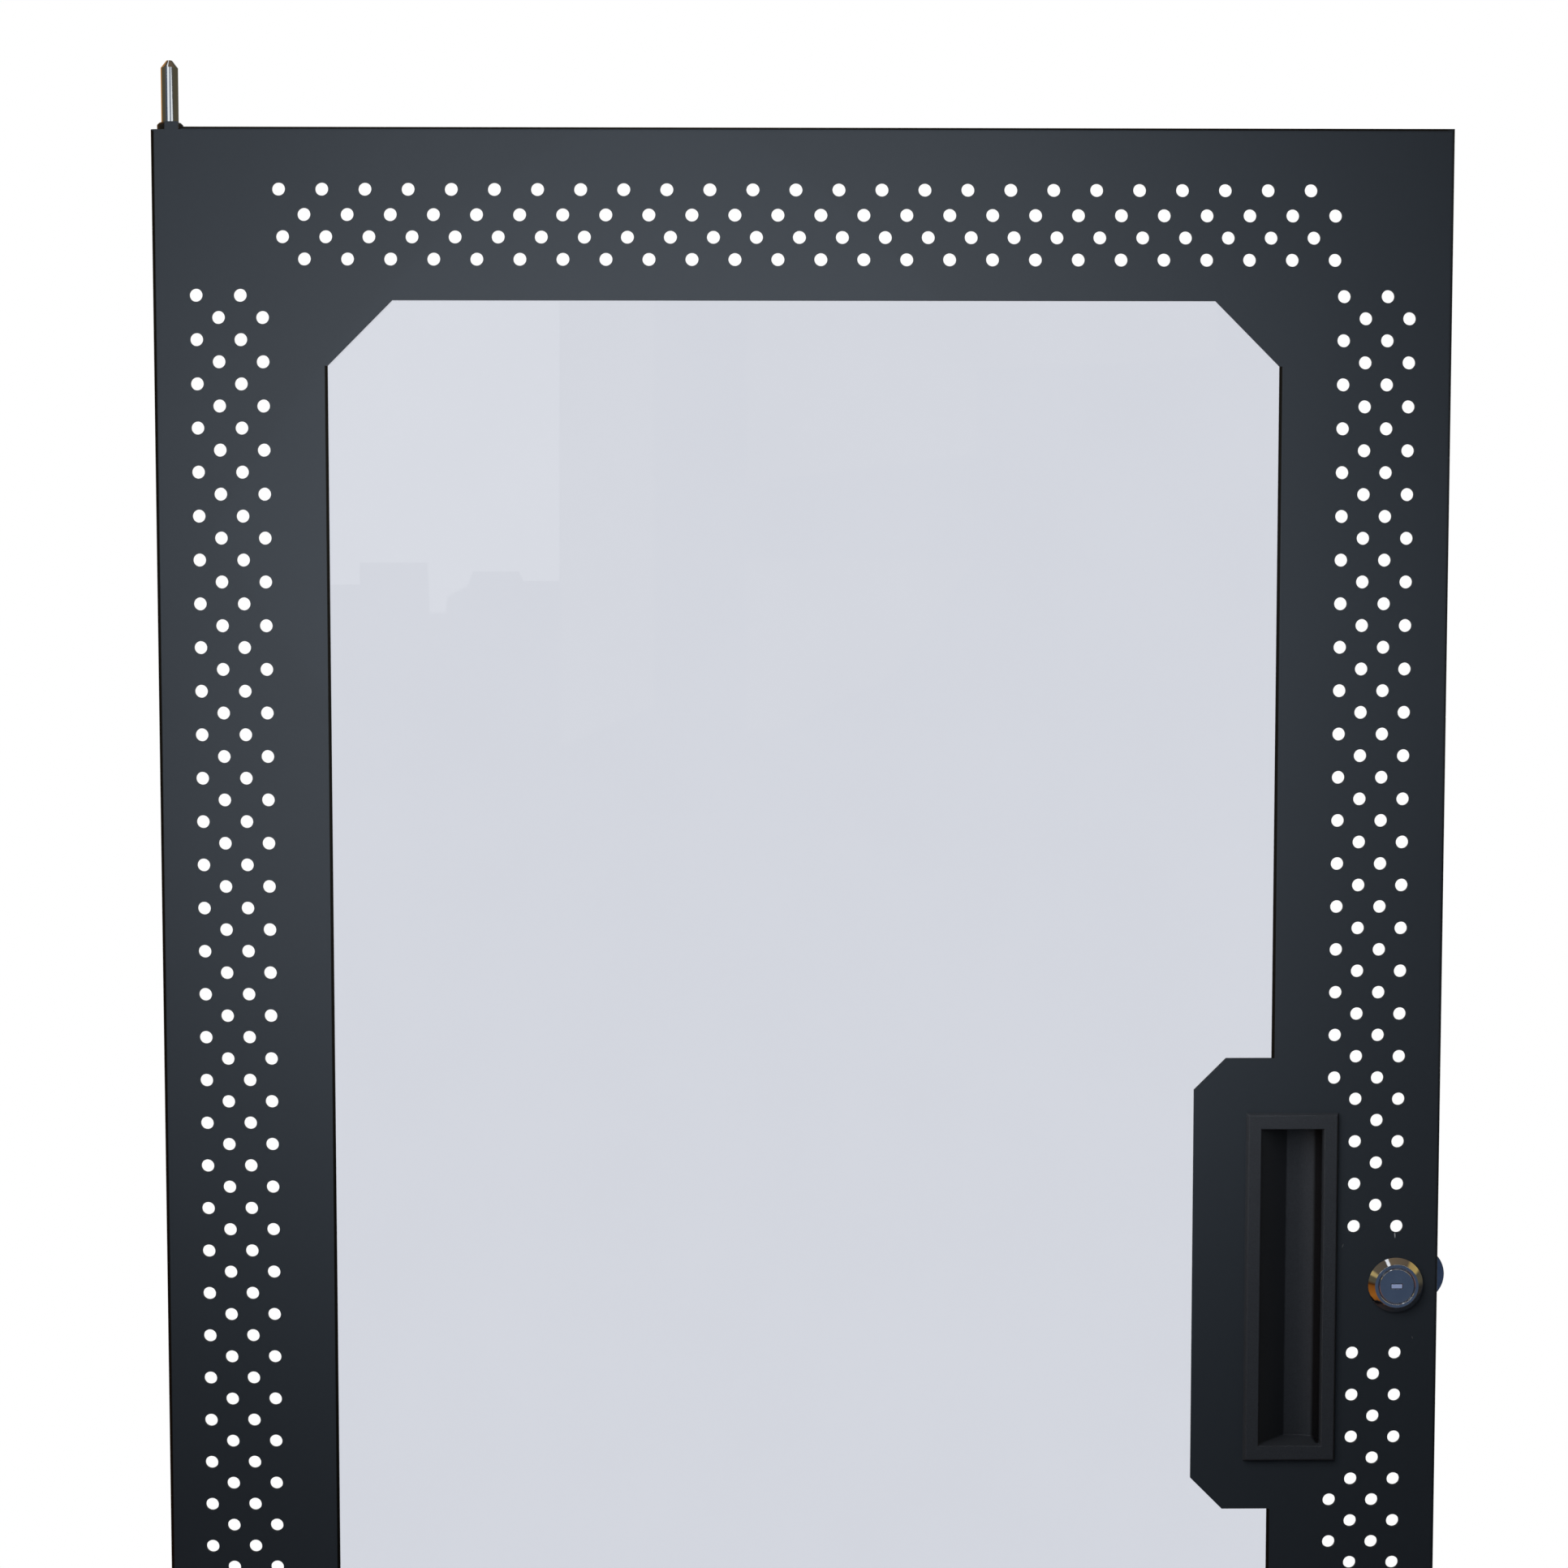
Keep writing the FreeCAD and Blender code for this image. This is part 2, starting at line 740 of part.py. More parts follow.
def flush_pull():
    """A moulding with a ramp on the left, a curved finger hold on the right and snap barbs at both ends."""
    body = new_body("flush_pull")
    shell = new_sketch(body, "XY_Plane", "pull_shell_section")
    corners = [
        ("pull_outer_right", "0"),
        ("pull_outer_right", "pull_lip_back"),
        ("pull_curve_axis", "pull_depth + pull_wall"),
        ("pull_ramp - pull_half - pull_wall / 2", "pull_depth + pull_wall"),
        ("-pull_outer_left", "0"),
    ]
    outline(shell, corners, {1: ("pull_curve_axis", "pull_lip_back", "pull_curve + pull_wall")})
    extrude(body, "Pad", "pull_shell", shell, "2 * pull_outer_end", symmetric=True)

    bezel = front_sketch(body, "bezel_outline")
    rectangle(bezel, "-bezel_half_width", "-bezel_half_height", "bezel_half_width", "bezel_half_height")
    pad = extrude(body, "Pad", "bezel", bezel, "bezel_rise")
    bind(pad, "TaperAngle", "-bezel_draft")

    barbs = new_sketch(body, "YZ_Plane", "barb_section")
    root = "sheet_gauge + barb_gap"
    tail = f"{root} + barb_length"
    tip = "pull_outer_end + barb_reach"
    sunk = "pull_outer_end - pull_wall / 2"
    outline(barbs, [(root, sunk), (tail, sunk), (tail, "pull_outer_end"), (root, tip)])
    low = f"-({sunk})"
    outline(barbs, [(root, f"-({tip})"), (tail, "-pull_outer_end"), (tail, low), (root, low)])
    extrude(body, "Pad", "barbs", barbs, "barb_width", symmetric=True)

    pocket = new_sketch(body, "XY_Plane", "pocket_section")
    mouth = "-bezel_rise - cut_over"
    corners = [
        ("pull_half", mouth),
        ("pull_half", "pull_lip_back"),
        ("pull_half + pull_undercut", "pull_lip_back"),
        ("pull_curve_axis", "pull_depth"),
        ("pull_ramp - pull_half", "pull_depth"),
        ("-pull_half", "pull_lip - bezel_rise"),
        ("-pull_half", mouth),
    ]
    outline(pocket, corners, {2: ("pull_curve_axis", "pull_lip_back", "pull_curve")})
    extrude(body, "Pocket", "finger_pocket", pocket, "pull_opening_height", symmetric=True)
    place(body, "pull_axis", "front", "pull_level")
    return body


# Key lock


def lock_housing():
    barrel = "barrel_diameter / 2"
    counterbore = "plug_head_diameter / 2 + plug_head_gap"
    floor_level = "lock_face + plug_head_height + plug_head_gap"
    bore = "plug_diameter / 2 + plug_fit"
    profile = [
        (f"{counterbore} + plug_head_bevel", "lock_face"),
        ("lock_face_diameter / 2", "lock_face"),
        ("lock_head_diameter / 2", "front - lock_collar"),
        ("lock_head_diameter / 2", "front"),
        (barrel, "front"),
        (barrel, "barrel_end"),
        (bore, "barrel_end"),
        (bore, floor_level),
        (counterbore, floor_level),
        (counterbore, "lock_face + plug_head_bevel"),
    ]
    return turned_about_y("lock_housing", profile, "lock_axis", "middle")


def lock_washer():
    profile = ring(
        "barrel_diameter / 2 + barrel_clearance",
        "lock_washer_diameter / 2",
        "inside",
        "inside + lock_washer_gauge",
    )
    return turned_about_y("lock_washer", profile, "lock_axis", "middle")


def lock_nut():
    body = new_body("lock_nut")
    sketch = front_sketch(body, "lock_nut_outline", "inside + lock_washer_gauge")
    hexagon(sketch, "0", "0", hex_corner("lock_nut_flats"))
    circle(sketch, "0", "0", "barrel_diameter / 2")
    extrude(body, "Pad", "lock_nut_prism", sketch, "lock_nut_height", backward=True)
    place(body, x="lock_axis", z="middle")
    return body


def lock_plug():
    """A turned plug with a key slot in its face and a square tail for the cam."""
    head = "plug_head_diameter / 2"
    profile = [
        ("0", "lock_face"),
        (f"{head} - plug_head_bevel", "lock_face"),
        (head, "lock_face + plug_head_bevel"),
        (head, "lock_face + plug_head_height"),
        ("plug_diameter / 2", "lock_face + plug_head_height"),
        ("plug_diameter / 2", "cam_front"),
        ("0", "cam_front"),
    ]
    body = turned_about_y("lock_plug", profile, "lock_axis", "middle")
    tail = front_sketch(body, "tail_outline", "cam_front")
    half = "cam_square / 2"
    rectangle(tail, f"-{half}", f"-{half}", half, half)
    extrude(body, "Pad", "square_tail", tail, "cam_gauge - cam_clamp_gap", backward=True)

    slot = front_sketch(body, "key_slot_outline", "lock_face")
    wide = "key_slot_width / 2"
    tall = "key_slot_height / 2"
    rectangle(slot, f"-{wide}", f"-{tall}", wide, tall)
    extrude(body, "Pocket", "key_slot", slot, "key_slot_depth")

    tapping = front_sketch(body, "tapping_outline", "cam_back")
    circle(tapping, "0", "0", "cam_screw_diameter / 2 + cam_screw_clearance")
    extrude(body, "Pocket", "tapping", tapping, "cam_screw_length", backward=True)
    return body


def key_shutter():
    """A small flap that closes the key slot and swings in about its top edge."""
    body = new_body("key_shutter")
    sketch = new_sketch(body, "YZ_Plane", "shutter_section")
    face = "lock_face + shutter_gap"
    tall = "key_slot_height / 2 - shutter_gap"
    rectangle(sketch, face, f"-({tall})", f"{face} + shutter_gauge", tall)
    flap = extrude(body, "Pad", "flap", sketch, "key_slot_width - 2 * shutter_gap", symmetric=True)

    def top_edge(box):
        return near(box.ZMin, tall) and box.YLength < 1e-4

    round_edges(body, "hinge_edge_round", flap, top_edge, "shutter_edge")
    place(body, x="lock_axis", z="middle")
    return body


def lock_cam():
    """A flat paddle with a round end, on the square of the plug."""
    hub = rod("cam_hub", ("lock_axis", "middle"), "cam_front", "cam_gauge", "cam_hub_radius")
    end_axis = "lock_axis + cam_reach - cam_end_radius"
    end = rod("cam_end", (end_axis, "middle"), "cam_front", "cam_gauge", "cam_end_radius")
    neck = doc.addObject("Part::Box", "cam_neck")
    bind(neck, "Length", "cam_reach - cam_end_radius")
    bind(neck, "Width", "cam_gauge")
    bind(neck, "Height", "2 * cam_hub_radius")
    place(neck, "lock_axis", "cam_front", "middle - cam_hub_radius")
    paddle = doc.addObject("Part::MultiFuse", "cam_paddle")
    paddle.Shapes = [hub, neck, end]
    paddle.Refine = True
    square = doc.addObject("Part::Box", "cam_square_hole")
    side = "(cam_square + 2 * cam_square_clearance)"
    bind(square, "Length", side)
    bind(square, "Width", "cam_gauge")
    bind(square, "Height", side)
    place(square, f"lock_axis - {side} / 2", "cam_front", f"middle - {side} / 2")
    return bored("lock_cam", paddle, square)


def cam_washer():
    profile = ring(
        "cam_screw_diameter / 2 + cam_screw_clearance",
        "cam_washer_diameter / 2",
        "cam_back",
        "cam_washer_back",
    )
    return turned_about_y("cam_washer", profile, "lock_axis", "middle")


def cam_screw():
    """A slotted cheese-head screw."""
    head = "cam_screw_head_diameter / 2"
    shank = "cam_screw_diameter / 2"
    top = "cam_washer_back + cam_screw_head_height"
    profile = [
        ("0", "cam_back - cam_screw_length + cam_screw_slot"),
        (shank, "cam_back - cam_screw_length + cam_screw_slot"),
        (shank, "cam_washer_back"),
        (head, "cam_washer_back"),
        (head, top),
        ("0", top),
    ]
    body = turned_about_y("cam_screw", profile, "lock_axis", "middle")
    slot = front_sketch(body, "driver_slot_outline", top)
    across = f"{head} + cut_over"
    rectangle(slot, f"-({across})", "-cam_screw_slot / 2", across, "cam_screw_slot / 2")
    extrude(body, "Pocket", "driver_slot", slot, "cam_screw_slot", backward=True)
    return body


# Hinges


def fold_bracket(name, corners, bends):
    """A folded strip behind the hinge edge, from its section in Y and Z, rounded outside its bends."""
    body = new_body(name)
    sketch = new_sketch(body, "YZ_Plane", f"{name}_section")
    outline(sketch, corners)
    strap = extrude(body, "Pad", f"{name}_strap", sketch, "bracket_width", symmetric=True)

    def outer_bend(box):
        along = box.YLength < 1e-4 and box.ZLength < 1e-4
        return along and near(box.YMin, "inside") and any(near(box.ZMin, level) for level in bends)

    round_edges(body, f"{name}_bends", strap, outer_bend, "bracket_bend_radius + bracket_gauge")
    return body


def bore_leg(body, name, level, radius):
    """A hole on the hinge axis through the leg below a level."""
    sketch = new_sketch(body, "XY_Plane", f"{name}_outline", level)
    circle(sketch, "0", "0", radius)
    extrude(body, "Pocket", name, sketch, "bracket_gauge")


def hinge_bracket_top():
    web = "inside + bracket_gauge"
    reach = "inside + bracket_reach"
    corners = [
        ("inside", "bracket_base"),
        (reach, "bracket_base"),
        (reach, "guide_top"),
        (web, "guide_top"),
        (web, "leg_under"),
        (reach, "leg_under"),
        (reach, "bracket_top"),
        ("inside", "bracket_top"),
    ]
    body = fold_bracket("hinge_bracket_top", corners, ["bracket_base", "bracket_top"])
    bore_leg(body, "bush_hole", "bracket_top", "bush_shank_diameter / 2 + bush_seat_clearance")
    bore_leg(body, "guide_hole", "guide_top", "pin_radius + pin_fit")
    return body


def hinge_bush_top():
    bore = "pin_radius + pin_fit"
    shank = "bush_shank_diameter / 2"
    head = "bush_diameter / 2"
    profile = [
        (bore, "leg_under"),
        (shank, "leg_under"),
        (shank, "bracket_top"),
        (head, "bracket_top"),
        (head, "bush_top - bush_bevel"),
        (f"{head} - bush_bevel", "bush_top"),
        (bore, "bush_top"),
    ]
    return turned_about_z("hinge_bush_top", profile)


def hinge_pin_top():
    """The sliding pin: coned tip, grease groove in the bush, clip groove and a cross hole for the knob."""
    clip_floor = "pin_radius - clip_groove_depth"
    grease_floor = "pin_radius - grease_groove_depth"
    profile = [
        ("0", "pin_end"),
        ("pin_radius - pin_tail_bevel", "pin_end"),
        ("pin_radius", "pin_end + pin_tail_bevel"),
        ("pin_radius", "clip_under"),
        (clip_floor, "clip_under"),
        (clip_floor, "clip_top"),
        ("pin_radius", "clip_top"),
        ("pin_radius", "bush_top - grease_groove_width"),
        (grease_floor, "bush_top - grease_groove_width"),
        (grease_floor, "bush_top"),
        ("pin_radius", "bush_top"),
        ("pin_radius", "pin_tip - pin_cone_height"),
        ("pin_tip_diameter / 2", "pin_tip"),
        ("0", "pin_tip"),
    ]
    body = turned_about_z("hinge_pin_top", profile)
    sketch = front_sketch(body, "stem_hole_outline")
    circle(sketch, "0", "knob_level", "knob_stem_diameter / 2 + knob_stem_clearance")
    extrude(body, "Pocket", "stem_hole", sketch, "pin_radius")
    return body


def pin_clip():
    """An open retaining ring in the pin's groove."""
    inner = "pin_radius - clip_groove_depth + clip_clearance"
    profile = ring(inner, "clip_diameter / 2", "clip_under + clip_clearance", "clip_top - clip_clearance")
    body = turned_about_z("pin_clip", profile)
    sketch = new_sketch(body, "XY_Plane", "clip_mouth_outline", "clip_top")
    rectangle(sketch, "-clip_mouth / 2", "0", "clip_mouth / 2", "clip_diameter")
    extrude(body, "Pocket", "clip_mouth", sketch, "2 * clip_gauge")
    return body


def pin_spring():
    """A compression spring of square wire between the bracket's lower leg and the clip."""
    body = new_body("pin_spring")
    sketch = front_sketch(body, "wire_section")
    inner = "spring_diameter / 2 - spring_wire / 2"
    rectangle(sketch, inner, "guide_top", f"{inner} + spring_wire", "guide_top + spring_wire")
    coil = feature(body, "AdditiveHelix", "coil", sketch)
    coil.ReferenceAxis = (sketch, ["V_Axis"])
    coil.Mode = "height-turns-angle"
    bind(coil, "Height", "clip_under + clip_clearance - guide_top - spring_wire")
    bind(coil, "Turns", "spring_turns")
    doc.recompute()
    return body


def release_knob():
    stem = "knob_stem_diameter / 2"
    knob = "knob_diameter / 2"
    back = "knob_front + knob_length"
    profile = [
        ("0", "knob_stem_clearance"),
        (stem, "knob_stem_clearance"),
        (stem, "knob_front"),
        (knob, "knob_front"),
        (knob, f"{back} - knob_edge"),
        (f"{knob} - knob_edge", back),
        ("0", back),
    ]
    return turned_about_y("release_knob", profile, "0", "knob_level")


def hinge_bracket_bottom():
    web = "inside + bracket_gauge"
    reach = "inside + bracket_reach"
    corners = [
        ("inside", "foot_under"),
        (reach, "foot_under"),
        (reach, "foot_over"),
        (web, "foot_over"),
        (web, "foot_under + foot_height"),
        ("inside", "foot_under + foot_height"),
    ]
    body = fold_bracket("hinge_bracket_bottom", corners, ["foot_under"])
    bore_leg(body, "foot_hole", "foot_over", "bush_shank_diameter / 2 + bush_seat_clearance")
    return body


def hinge_bush_bottom():
    bore = "foot_stud_diameter / 2 + pin_fit"
    shank = "bush_shank_diameter / 2"
    head = "bush_diameter / 2"
    profile = [
        (bore, "0"),
        (f"{head} - bush_bevel", "0"),
        (head, "bush_bevel"),
        (head, "foot_under"),
        (shank, "foot_under"),
        (shank, "foot_over"),
        (bore, "foot_over"),
    ]
    return turned_about_z("hinge_bush_bottom", profile)


def hinge_pin_bottom():
    """The fixed pin: a coned end below the bush and a threaded stud through it."""
    stud = "foot_stud_diameter / 2"
    top = "foot_over + foot_nut_height + foot_stud_over"
    profile = [
        ("0", "-foot_pin_length"),
        ("pin_radius - foot_pin_cone", "-foot_pin_length"),
        ("pin_radius", "foot_pin_cone - foot_pin_length"),
        ("pin_radius", "0"),
        (stud, "0"),
        (stud, top),
        ("0", top),
    ]
    return turned_about_z("hinge_pin_bottom", profile)


def pin_nut_bottom():
    body = new_body("pin_nut_bottom")
    sketch = new_sketch(body, "XY_Plane", "foot_nut_outline", "foot_over")
    hexagon(sketch, "0", "0", hex_corner("foot_nut_flats"))
    circle(sketch, "0", "0", "foot_stud_diameter / 2")
    extrude(body, "Pad", "foot_nut_prism", sketch, "foot_nut_height")
    return body


SUB_PARTS = [
    door_skin,
    acrylic_pane,
    pane_foam_tape,
    pane_weld_studs,
    pane_washers,
    pane_nuts,
    flush_pull,
    lock_housing,
    lock_washer,
    lock_nut,
    lock_plug,
    key_shutter,
    lock_cam,
    cam_washer,
    cam_screw,
    hinge_bracket_top,
    hinge_bush_top,
    hinge_pin_top,
    pin_clip,
    pin_spring,
    release_knob,
    hinge_bracket_bottom,
    hinge_bush_bottom,
    hinge_pin_bottom,
    pin_nut_bottom,
]

pieces = [make() for make in SUB_PARTS]
doc.recompute()

for item in doc.Objects:
    if "Invalid" in item.State or "Error" in item.State:
        raise RuntimeError(f"{item.Name} failed: {item.State}")
    before = {"PartDesign::Pocket": "BaseFeature", "Part::Cut": "Base"}.get(item.TypeId)
    if before and item.Shape.Volume >= getattr(item, before).Shape.Volume:
        raise RuntimeError(f"{item.Name} cut nothing")

shapes = {piece.Label: piece.Shape for piece in pieces}
for label, shape in shapes.items():
    if shape.isNull() or not shape.isValid() or not shape.Solids:
        raise RuntimeError(f"{label} is no valid solid")

os.makedirs("parts", exist_ok=True)
for label, shape in shapes.items():
    shape.exportStep(f"parts/{label}.step")
    print(f"{label}: {len(shape.Solids)} solids, {shape.Volume:.1f} mm3")
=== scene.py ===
import json
import math

import bmesh
import bpy
import numpy as np
from mathutils import Matrix, Vector
from mathutils.geometry import delaunay_2d_cdt

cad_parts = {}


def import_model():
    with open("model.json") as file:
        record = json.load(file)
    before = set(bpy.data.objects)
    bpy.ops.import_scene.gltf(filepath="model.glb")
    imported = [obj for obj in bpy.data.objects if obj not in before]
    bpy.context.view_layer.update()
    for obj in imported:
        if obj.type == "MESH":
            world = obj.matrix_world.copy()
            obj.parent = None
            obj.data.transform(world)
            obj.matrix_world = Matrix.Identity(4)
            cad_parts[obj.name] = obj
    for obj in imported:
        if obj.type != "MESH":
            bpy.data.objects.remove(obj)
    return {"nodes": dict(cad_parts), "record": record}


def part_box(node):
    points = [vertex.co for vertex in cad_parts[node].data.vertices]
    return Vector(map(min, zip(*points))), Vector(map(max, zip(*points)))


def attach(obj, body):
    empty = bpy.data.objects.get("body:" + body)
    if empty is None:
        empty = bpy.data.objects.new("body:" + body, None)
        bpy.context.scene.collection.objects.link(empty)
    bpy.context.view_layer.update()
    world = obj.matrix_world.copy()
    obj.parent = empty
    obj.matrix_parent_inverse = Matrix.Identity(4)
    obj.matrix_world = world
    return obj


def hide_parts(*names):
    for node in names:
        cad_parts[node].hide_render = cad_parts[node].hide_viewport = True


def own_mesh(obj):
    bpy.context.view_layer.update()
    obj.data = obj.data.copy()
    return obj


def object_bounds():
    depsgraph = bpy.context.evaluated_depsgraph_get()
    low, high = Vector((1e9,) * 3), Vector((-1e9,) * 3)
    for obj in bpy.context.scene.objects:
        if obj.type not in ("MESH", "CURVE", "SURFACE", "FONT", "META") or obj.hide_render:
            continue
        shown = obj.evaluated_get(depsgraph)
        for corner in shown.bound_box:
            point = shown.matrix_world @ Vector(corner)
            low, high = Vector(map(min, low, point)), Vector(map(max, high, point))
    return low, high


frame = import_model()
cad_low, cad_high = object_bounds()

# Sizes in metres, worked out from the frame where it has them.
MM = 0.001
SHEET_LOW, SHEET_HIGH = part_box("door_skin")
HINGE_EDGE, LOCK_EDGE = SHEET_LOW.x, SHEET_HIGH.x
FRONT, REAR = SHEET_LOW.y, SHEET_HIGH.y
GUARD_RISE = 2.1 * MM
GUARD_LEFT, GUARD_RIGHT = -0.85 * MM, 5.25 * MM
BOTTOM, TOP = SHEET_LOW.z, SHEET_HIGH.z - GUARD_RISE
MIDDLE = (BOTTOM + TOP) / 2
CENTRE = (HINGE_EDGE + LOCK_EDGE) / 2

# Folded sheet
GAUGE = 1.45 * MM
BEND_RADIUS = 2 * MM
BEND_STEPS = 6
NOTCH_DEPTH = 1.5 * MM
NOTCH_GAP = 0.5 * MM
STILE = 80 * MM
RAIL = 79 * MM
WINDOW_CHAMFER = 30 * MM
TAB_REACH = 36.5 * MM
TAB_HEIGHT = 216 * MM
TAB_CHAMFER = 15 * MM
HEM_WIDTH = 13 * MM
HEM_RADIUS = 1.5 * MM
HEM_STEPS = 8
PULL_CUT_INSET = 5 * MM
BARREL_HOLE_RADIUS = 9.6 * MM
BARREL_HOLE_STEPS = 48

# Punched border; rows on the rails have a shift along the rail and a distance from its edge.
HOLE_RADIUS = 3 * MM
HOLE_STEPS = 28
HOLE_PITCH = 20.25 * MM
ROW_PITCH = 19.8 * MM
COLUMN_MIDDLE = MIDDLE - 2.6 * MM
COLUMN_INSET = 20 * MM
SIDE_HOLES = 23
ROW_HOLES = 25
LOCK_SKIP = 2
LOCK_HALF_SKIP = 1
PULL_SKIP = 5
SKIP_MARGIN = 0.25
OUTER_ROW_SHIFT, OUTER_ROW_INSET = -4 * MM, 28.5 * MM
ROW_SHIFT, ROW_INSET = 7.5 * MM, 40 * MM
ROWS = [
    (OUTER_ROW_SHIFT, OUTER_ROW_INSET),
    (ROW_SHIFT, ROW_INSET),
    (ROW_SHIFT - ROW_PITCH / 2, ROW_INSET + HOLE_PITCH / 2),
    (ROW_SHIFT, ROW_INSET + HOLE_PITCH),
]

# Threads, with depth, crest and foot as shares of their pitch, and nuts
THREAD_DEPTH = 0.6
THREAD_CREST = 0.07
THREAD_FOOT = 0.44
THREAD_SINK = 0.02 * MM
THREAD_LEAST_RISE = 0.02
SHANK_TOLERANCE = 0.01 * MM
NUT_STEPS = 48
NUT_FACE = 0.95
NUT_SINK = 0.4 * MM
NUT_CHAMFER = math.radians(30)

# Reworking of CAD shapes
WELD_DISTANCE = 0.001 * MM
FLAT_ANGLE = math.radians(0.5)
SHARP_ANGLE = math.radians(28)
SQUARE_SHARE = 0.99999

# Painted shade on the hems and bends: depths behind the front where it comes and goes, and its range below
# the top
BEND_SHADE_STARTS = (0.02 * MM, 0.07 * MM)
BEND_SHADE_ENDS = (1.38 * MM, 1.28 * MM)
BEND_SHADE_RIM = (1.3 * MM, 1.0 * MM)
BEND_SHADE_BELOW = (BEND_RADIUS, 1.2 * BEND_RADIUS)
BEND_SHADE_COLOUR = (0.0045, 0.004, 0.003)

# Pale flecks on the front by the lock: place across and up, half size, tilt and colour.
FLECK_DEPTH = 0.5 * MM
FLECKS = [
    ((571.7 * MM, 567.5 * MM), (0.35 * MM, 1.5 * MM), -0.08, (0.42, 0.44, 0.46)),
    ((547.1 * MM, 562.5 * MM), (0.25 * MM, 1.1 * MM), 0.35, (0.12, 0.125, 0.13)),
    ((580.7 * MM, 518.4 * MM), (0.25 * MM, 0.8 * MM), -0.4, (0.11, 0.115, 0.12)),
]


# Nodes


def plug(tree, socket, value):
    """Links another node's output to a socket, or sets a constant on it."""
    if isinstance(value, bpy.types.NodeSocket):
        tree.links.new(value, socket)
    else:
        socket.default_value = value


def feed(tree, item, **inputs):
    """Fills a node's inputs by name."""
    for name, value in inputs.items():
        plug(tree, item.inputs[name.replace("_", " ")], value)


def node(tree, kind, **inputs):
    item = tree.nodes.new(f"ShaderNode{kind}")
    feed(tree, item, **inputs)
    return item


def math_node(tree, operation, *values):
    item = tree.nodes.new("ShaderNodeMath")
    item.operation = operation
    for socket, value in zip(item.inputs, values):
        plug(tree, socket, value)
    return item.outputs[0]


def multiplied(tree, first, *others):
    for other in others:
        first = math_node(tree, "MULTIPLY", first, other)
    return first


def mixed(tree, share, first, second):
    """One colour going over to another."""
    item = tree.nodes.new("ShaderNodeMix")
    item.data_type = "RGBA"
    plug(tree, item.inputs["Factor"], share)
    for socket, colour in ((item.inputs[6], first), (item.inputs[7], second)):
        plug(tree, socket, (*colour, 1) if isinstance(colour, tuple) else colour)
    return item.outputs[2]


def remap(tree, value, start, end, low=0.0, high=1.0):
    """A value's range from start to end laid over low to high."""
    item = tree.nodes.new("ShaderNodeMapRange")
    feed(tree, item, Value=value, From_Min=start, From_Max=end, To_Min=low, To_Max=high)
    return item.outputs["Result"]


def spread(tree, value, low, high):
    """The middle half of a noise's range stretched over low to high."""
    return remap(tree, value, 0.25, 0.75, low, high)


def object_place(tree):
    """The place on the object in metres, as one vector."""
    return tree.nodes.new("ShaderNodeTexCoord").outputs["Object"]


def object_axes(tree):
    """The place on the object in metres, along each axis."""
    return node(tree, "SeparateXYZ", Vector=object_place(tree)).outputs


def noise(tree, grain, detail=2.0, stretch=(1, 1, 1)):
    """Cloudy noise with blobs about one grain wide, stretched where a finish runs one way."""
    spot = node(tree, "Mapping", Vector=object_place(tree), Scale=stretch).outputs["Vector"]
    return node(tree, "TexNoise", Vector=spot, Scale=1 / grain, Detail=detail).outputs[0]


def cells(tree, grain):
    """Distance from the nearest of many scattered points, one grain apart."""
    return node(tree, "TexVoronoi", Vector=object_place(tree), Scale=1 / grain).outputs["Distance"]


def distance(tree, first, second):
    item = tree.nodes.new("ShaderNodeVectorMath")
    item.operation = "DISTANCE"
    plug(tree, item.inputs[0], first)
    plug(tree, item.inputs[1], second)
    return item.outputs["Value"]


def shades(tree, value, dark, light):
    """A colour between dark and light."""
    ramp = tree.nodes.new("ShaderNodeValToRGB")
    plug(tree, ramp.inputs["Fac"], value)
    for stop, position, colour in zip(ramp.color_ramp.elements, (0.3, 0.7), (dark, light)):
        stop.position = position
        stop.color = (*colour, 1)
    return ramp.outputs["Color"]


def relief(tree, height, depth, strength):
    return node(tree, "Bump", Height=height, Strength=strength, Distance=depth).outputs["Normal"]


# Materials


def new_material(name):
    material = bpy.data.materials.new(name)
    material.use_nodes = True
    tree = material.node_tree
    return material, tree, tree.nodes["Principled BSDF"]


def fleck(tree, spot, half_size, tilt):
    """One on a small pale fleck of the front, falling to nothing at its rim."""
    moved = tree.nodes.new("ShaderNodeMapping")
    moved.vector_type = "TEXTURE"
    middle = (spot[0], FRONT, spot[1])
    size = (half_size[0], FLECK_DEPTH, half_size[1])
    feed(tree, moved, Vector=object_place(tree), Location=middle, Rotation=(0, tilt, 0), Scale=size)
    return remap(tree, distance(tree, moved.outputs["Vector"], (0, 0, 0)), 0.5, 1.1, 1.0, 0.0)


def painted_bend_shade(tree):
    """One where shade is painted dark: on the hems, the hinge-side bend and the rim of the top bend."""
    x, y, z = object_axes(tree)
    start = remap(tree, y, *(FRONT + depth for depth in BEND_SHADE_STARTS))
    end = remap(tree, y, *(FRONT + depth for depth in BEND_SHADE_ENDS))
    side = remap(tree, x, LOCK_EDGE - BEND_RADIUS, LOCK_EDGE - 2 * BEND_RADIUS)
    below = remap(tree, z, *(TOP - drop for drop in BEND_SHADE_BELOW))
    rim = remap(tree, z, *(TOP - drop for drop in BEND_SHADE_RIM))
    return multiplied(tree, start, end, side, math_node(tree, "MAXIMUM", below, rim))


